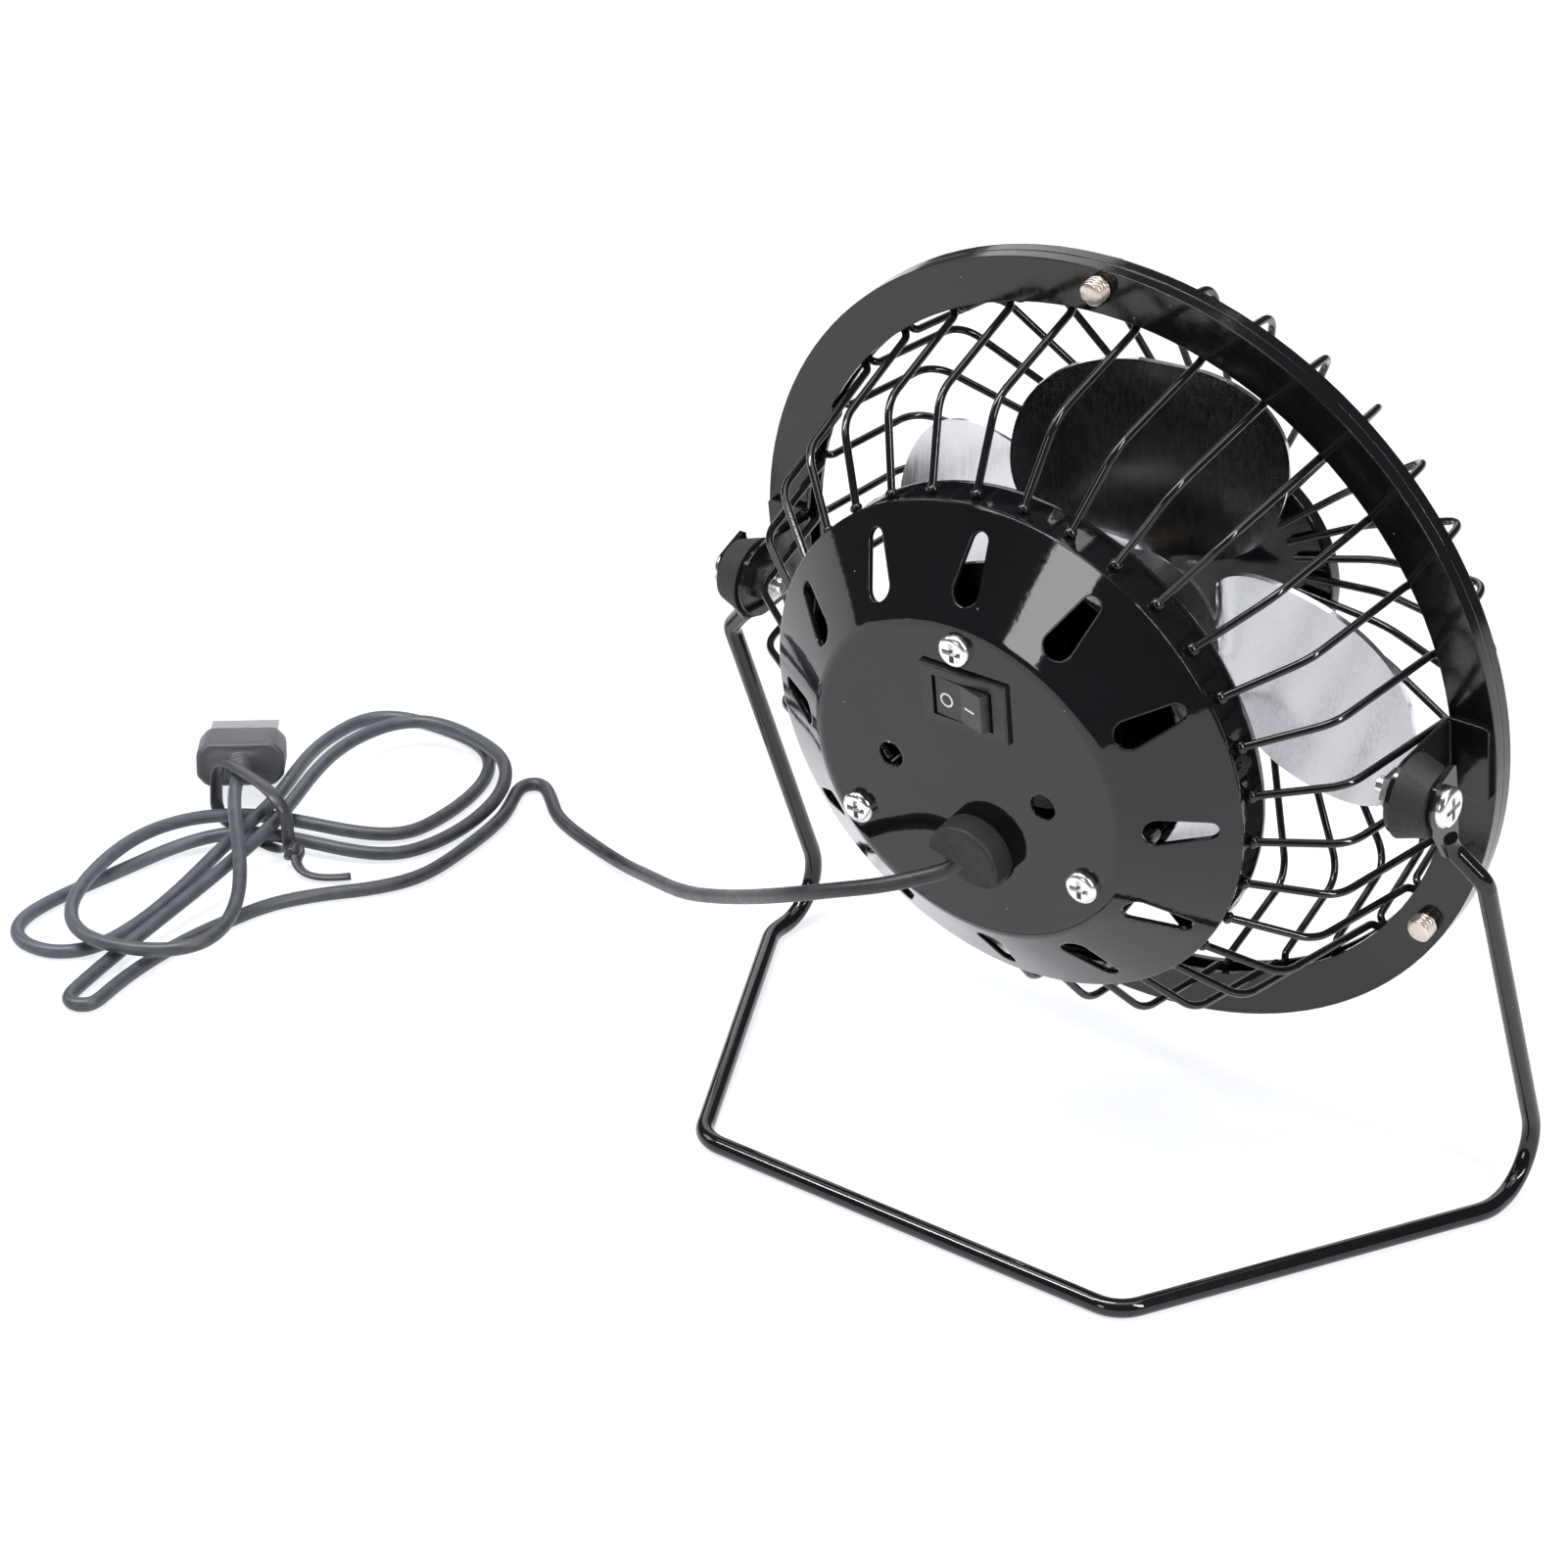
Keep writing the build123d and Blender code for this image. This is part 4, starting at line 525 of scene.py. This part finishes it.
def chamfered():
    """A rounded eight-sided outline: one over the power mean of the reach towards its faces."""
    turn = full_turn(PLUG_COUNT)
    wide, high = GRIP_HALF
    corner = (wide + high - GRIP_CHAMFER) / np.sqrt(2)
    ways = [(0, wide), (90, high), (180, wide), (270, high)]
    ways += [(angle, corner) for angle in (45, 135, 225, 315)]
    reach = [np.clip(np.cos(turn - radians(angle)), 0, None) / depth for angle, depth in ways]
    radius = np.sum(np.power(reach, CHAMFER_POWER), 0) ** (-1 / CHAMFER_POWER)
    return np.stack([radius * np.cos(turn), radius * np.sin(turn)], -1)


def rounded_end(foot, depth, run, rise):
    """The grip's outline drawn in by a quarter circle at one end."""
    shape = chamfered()
    inset = unit(shape) * abs(depth)
    return [(foot + depth * (1 - s), shape - inset * (1 - r)) for s, r in zip(run, rise)]


def plug_rows():
    """Distances along the plug and the outline at each: a ribbed cone, then the rounded grip."""
    cone = np.linspace(0.3, RELIEF_LENGTH, 40)
    ribs = RIB_HEIGHT * np.clip(np.sin(2 * np.pi * cone / RIB_PITCH - 0.6), 0, 1) ** 0.5
    radii = RELIEF_R + RELIEF_FLARE * cone / RELIEF_LENGTH + ribs
    relief = [(t, oval(1, 1, PLUG_COUNT) * 2 * radius) for t, radius in zip(cone, radii)]
    turn = np.linspace(0, np.pi / 2, 7)
    back = rounded_end(RELIEF_LENGTH, GRIP_BACK_ROUND, np.cos(turn), np.sin(turn))
    front_end = RELIEF_LENGTH + GRIP_LENGTH
    front = rounded_end(front_end, -GRIP_FRONT_ROUND, np.sin(turn), np.cos(turn))
    return relief + back + front


plug_sections = plug_rows()
plug_way = hank_way(PLUG_HEADING, PLUG_DROP)
plug_across = hank_way(PLUG_HEADING - 90)
plug_path = (hank_point(*PLUG_RELIEF_END) + np.array([[t] for t, _ in plug_sections]) * plug_way) * MM
plug_outlines = np.array([outline for _, outline in plug_sections]) * MM
plug_up = np.cross(plug_way, plug_across)
plug_spread = plug_across * plug_outlines[..., :1] + plug_up * plug_outlines[..., 1:]
plug_points = plug_path[:, None] + plug_spread
plug_faces = [face[::-1] for face in tube_faces(len(plug_sections), PLUG_COUNT)]
plug_moulding = mesh_object("plug_moulding", plug_points, plug_faces)
dressed(plug_moulding, "stand", grip_grey, "grip_plastic", "plug_grip")

# Marks on the rocker: a ring on its pressed half and a bar on its raised half
SWITCH_PLACE = np.array([1.0, 14.4, 27.1])
ROCKER_SWING, ROCKER_VEE, ROCKER_VALLEY = 10.0, 6.0, 1.3
MARK_BELOW, MARK_SUNK, MARK_PROUD = -0.35, -0.05, 0.03
RING_ALONG, RING_INNER_R, RING_OUTER_R, RING_COUNT = -2.6, 0.86, 1.18, 48
BAR_ALONG, BAR_HALF, BAR_R, BAR_COUNT = 1.9, 0.95, 0.15, 24


def on_rocker(half, along, across, lift):
    """Places on half of the rocker's face: along it from its middle, up the head, and off the face."""
    lean = radians(ROCKER_SWING + half * ROCKER_VEE)
    foot = np.array([-sin(radians(ROCKER_SWING)), 0, cos(radians(ROCKER_SWING))]) * ROCKER_VALLEY
    run, off = np.array([cos(lean), 0, sin(lean)]), np.array([-sin(lean), 0, cos(lean)])
    along, across, lift = (np.asarray(value, float)[..., None] for value in (along, across, lift))
    return head(SWITCH_PLACE + foot + along * run + across * [0, 1, 0] + lift * off)


ring_turn = full_turn(RING_COUNT)
ring_radius = np.array([RING_INNER_R, RING_OUTER_R, RING_OUTER_R, RING_INNER_R])[:, None]
ring_lift = np.array([MARK_SUNK, MARK_SUNK, MARK_PROUD, MARK_PROUD])[:, None] + 0 * ring_turn
ring_along = RING_ALONG + ring_radius * np.cos(ring_turn)
ring_across = MARK_BELOW + ring_radius * np.sin(ring_turn)
ring_points = on_rocker(-1, ring_along, ring_across, ring_lift)
ring_faces = grid_faces(len(ring_radius), RING_COUNT, True, True)
ring_mark = mesh_object("rocker_ring_mark", ring_points, ring_faces, smooth=False)
dressed(ring_mark, "rocker", mark_white, "tongue_plastic")
bar_turn = full_turn(BAR_COUNT)
bar_along = BAR_ALONG + BAR_R * np.cos(bar_turn) + BAR_HALF * np.sign(np.cos(bar_turn))
bar_across = MARK_BELOW + BAR_R * np.sin(bar_turn)
bar_lifts = [lift + 0 * bar_turn for lift in (MARK_SUNK, MARK_PROUD)]
bar_points = np.stack([on_rocker(1, bar_along, bar_across, lift) for lift in bar_lifts])
bar_faces = tube_faces(len(bar_lifts), BAR_COUNT)
bar_mark = mesh_object("rocker_bar_mark", bar_points, bar_faces, smooth=False)
dressed(bar_mark, "rocker", mark_white, "tongue_plastic")

# Threads on the guard screws' tips
GUARD_SCREW_ANGLES = (90, 210.6, 329.4)
GUARD_SCREW_CIRCLE_R, RING_REAR = 62.0, -12.3
THREAD_LENGTH, THREAD_PITCH = 2.25, 0.7
THREAD_ROOT_R, THREAD_DEPTH, THREAD_POWER = 1.62, 0.36, 1.2
TIP_R, TIP_RISE = 1.66, 0.3


def thread(angle, rows=44, columns=36, dome_rows=6):
    """A screw surface: its radius swells once a pitch along, and the swell turns with the angle."""
    turn = full_turn(columns)
    along = np.linspace(0.02, THREAD_LENGTH, rows)[:, None]
    swell = 0.5 + 0.5 * np.cos(2 * np.pi * along / THREAD_PITCH - turn)
    radius = THREAD_ROOT_R + THREAD_DEPTH * swell**THREAD_POWER
    dome = np.linspace(0, np.pi / 2, dome_rows + 1)[1:, None]
    radius = np.concatenate([radius, TIP_R * np.cos(dome) + 0.01 + 0 * turn])
    along = np.concatenate([along + 0 * turn, THREAD_LENGTH + TIP_RISE * np.sin(dome) + 0 * turn])
    x = GUARD_SCREW_CIRCLE_R * cos(radians(angle)) + radius * np.cos(turn)
    y = GUARD_SCREW_CIRCLE_R * sin(radians(angle)) + radius * np.sin(turn)
    points = head(np.stack([x, y, RING_REAR + along], -1).reshape(-1, 3))
    return points, tube_faces(rows + dome_rows, columns)


for number, angle in enumerate(GUARD_SCREW_ANGLES, start=1):
    dressed(mesh_object(f"guard_screw_thread_{number}", *thread(angle)), "head", brown_zinc, "zinc")

# Weld beads where the rear wires end on the motor housing
WIRE_COUNT, CUP_R, WELD_BEHIND = 32, 40.6, 14.7
BEAD_PROUD, BEAD_DEPTH, BEAD_WIDE, BEAD_LONG = 0.55, 0.75, 1.05, 0.95


def weld_beads(rings=7, columns=10):
    """Small flattened balls round the housing: sine and cosine of two turns, pulled wide on the rim."""
    spot = radians(360 / WIRE_COUNT) * (np.arange(WIRE_COUNT) + 0.5)[:, None, None]
    tip = np.linspace(0.08, np.pi - 0.08, rings)[:, None]
    turn = full_turn(columns)
    out = CUP_R + BEAD_PROUD + BEAD_DEPTH * np.cos(tip) + 0 * turn
    wide = BEAD_WIDE * np.sin(tip) * np.cos(turn)
    behind = WELD_BEHIND + BEAD_LONG * np.sin(tip) * np.sin(turn)
    x, y = out * np.cos(spot) - wide * np.sin(spot), out * np.sin(spot) + wide * np.cos(spot)
    points = head(np.stack([x, y, behind + 0 * x], -1).reshape(-1, 3))
    firsts = rings * columns * np.arange(WIRE_COUNT)
    return points, [first + np.array(face) for first in firsts for face in tube_faces(rings, columns)]


dressed(mesh_object("wire_weld_beads", *weld_beads()), "head", gloss_black, "black_paint")

# The cord: one tube baked in place, standing for the imported lead and hank
cord, cord_line = cord_tube("cord", cord_points, CORD_DIA * MM)
cord.data.materials.append(cord_jacket)
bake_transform(cord)
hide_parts("cord_lead", "cord_hank")

# Floor, light and camera
floor_finish = Finish("pale_floor", (0.3, 0.3, 0.3), 0.6)
floor_finish.shader.inputs["Emission Color"].default_value = (0.94, 0.96, 1.0, 1)
floor_finish.shader.inputs["Emission Strength"].default_value = 0.8
floor_finish.shader.inputs["Specular IOR Level"].default_value = 0.0
FLOOR_LEFT, FLOOR_FRONT, FLOOR_REACH = -0.8, -0.42, 1.7
corners = [
    (FLOOR_LEFT, FLOOR_FRONT, 0),
    (FLOOR_REACH, FLOOR_FRONT, 0),
    (FLOOR_REACH, FLOOR_REACH, 0),
    (FLOOR_LEFT, FLOOR_REACH, 0),
]
floor = mesh_object("floor", corners, [(0, 1, 2, 3)])
floor.data.materials.append(floor_finish.material)


def softbox(name, place, aim, size, power):
    """A rectangular lamp at a place, facing an aim."""
    lamp = bpy.data.lights.new(name, "AREA")
    lamp.shape = "RECTANGLE"
    lamp.size, lamp.size_y = size
    lamp.energy = power
    piece = bpy.data.objects.new(name, lamp)
    bpy.context.scene.collection.objects.link(piece)
    toward = Vector(aim) - Vector(place)
    facing = toward.to_track_quat("-Z", "Y").to_matrix().to_4x4()
    piece.matrix_world = Matrix.Translation(place) @ facing


softbox("top_box", (-0.1, 0.1, 1.5), (0, 0, 0), (1.3, 1.3), 14.0)
softbox("rear_strip", (-0.12, -1.5, 0.52), (0, 0, 0.08), (0.34, 0.4), 3.4)
softbox("left_box", (-1.3, -0.5, 0.9), (0, 0, 0.05), (0.6, 0.6), 5.0)
softbox("back_box", (-1.0, 1.15, 0.8), (-0.1, 0, 0.03), (1.0, 0.8), 4.0)
softbox("top_strip", (-0.35, -0.3, 1.1), (0, 0, 0.08), (0.1, 0.9), 12.0)
softbox("right_strip", (0.9, -0.15, 0.75), (0, 0, 0.08), (0.08, 0.8), 9.0)

world = bpy.data.worlds.new("studio")
bpy.context.scene.world = world
world.use_nodes = True
sky = world.node_tree
ray = sky.nodes.new("ShaderNodeLightPath")
backdrop = sky.nodes.new("ShaderNodeMix")
backdrop.data_type = "RGBA"
backdrop.inputs["A"].default_value = (0.1, 0.1, 0.105, 1)
backdrop.inputs["B"].default_value = (0.92, 0.93, 0.95, 1)
sky.links.new(ray.outputs["Is Camera Ray"], backdrop.inputs["Factor"])
sky.links.new(backdrop.outputs["Result"], sky.nodes["Background"].inputs["Color"])

CAMERA_PLACE = Vector((0.324469, -0.509570, 0.379450))
SENSOR_WIDTH, FOCAL_PIXELS, PICTURE_PIXELS = 36.0, 4619.223, 1601
azimuth, elevation, roll = radians(-36.515), radians(28.003), radians(0.791)
look = Vector((sin(azimuth) * cos(elevation), cos(azimuth) * cos(elevation), -sin(elevation)))
level = Vector((cos(azimuth), -sin(azimuth), 0))
upright = level.cross(look)
right = level * cos(roll) + upright * sin(roll)
up = upright * cos(roll) - level * sin(roll)
lens = bpy.data.cameras.new("photo_camera")
lens.sensor_width = SENSOR_WIDTH
lens.lens = SENSOR_WIDTH * FOCAL_PIXELS / PICTURE_PIXELS
lens.clip_start = 0.01
camera = bpy.data.objects.new("photo_camera", lens)
bpy.context.scene.collection.objects.link(camera)
camera.matrix_world = Matrix((
    (right.x, up.x, -look.x, CAMERA_PLACE.x),
    (right.y, up.y, -look.y, CAMERA_PLACE.y),
    (right.z, up.z, -look.z, CAMERA_PLACE.z),
    (0, 0, 0, 1),
))
bpy.context.scene.camera = camera
bpy.context.scene.view_settings.view_transform = "Standard"
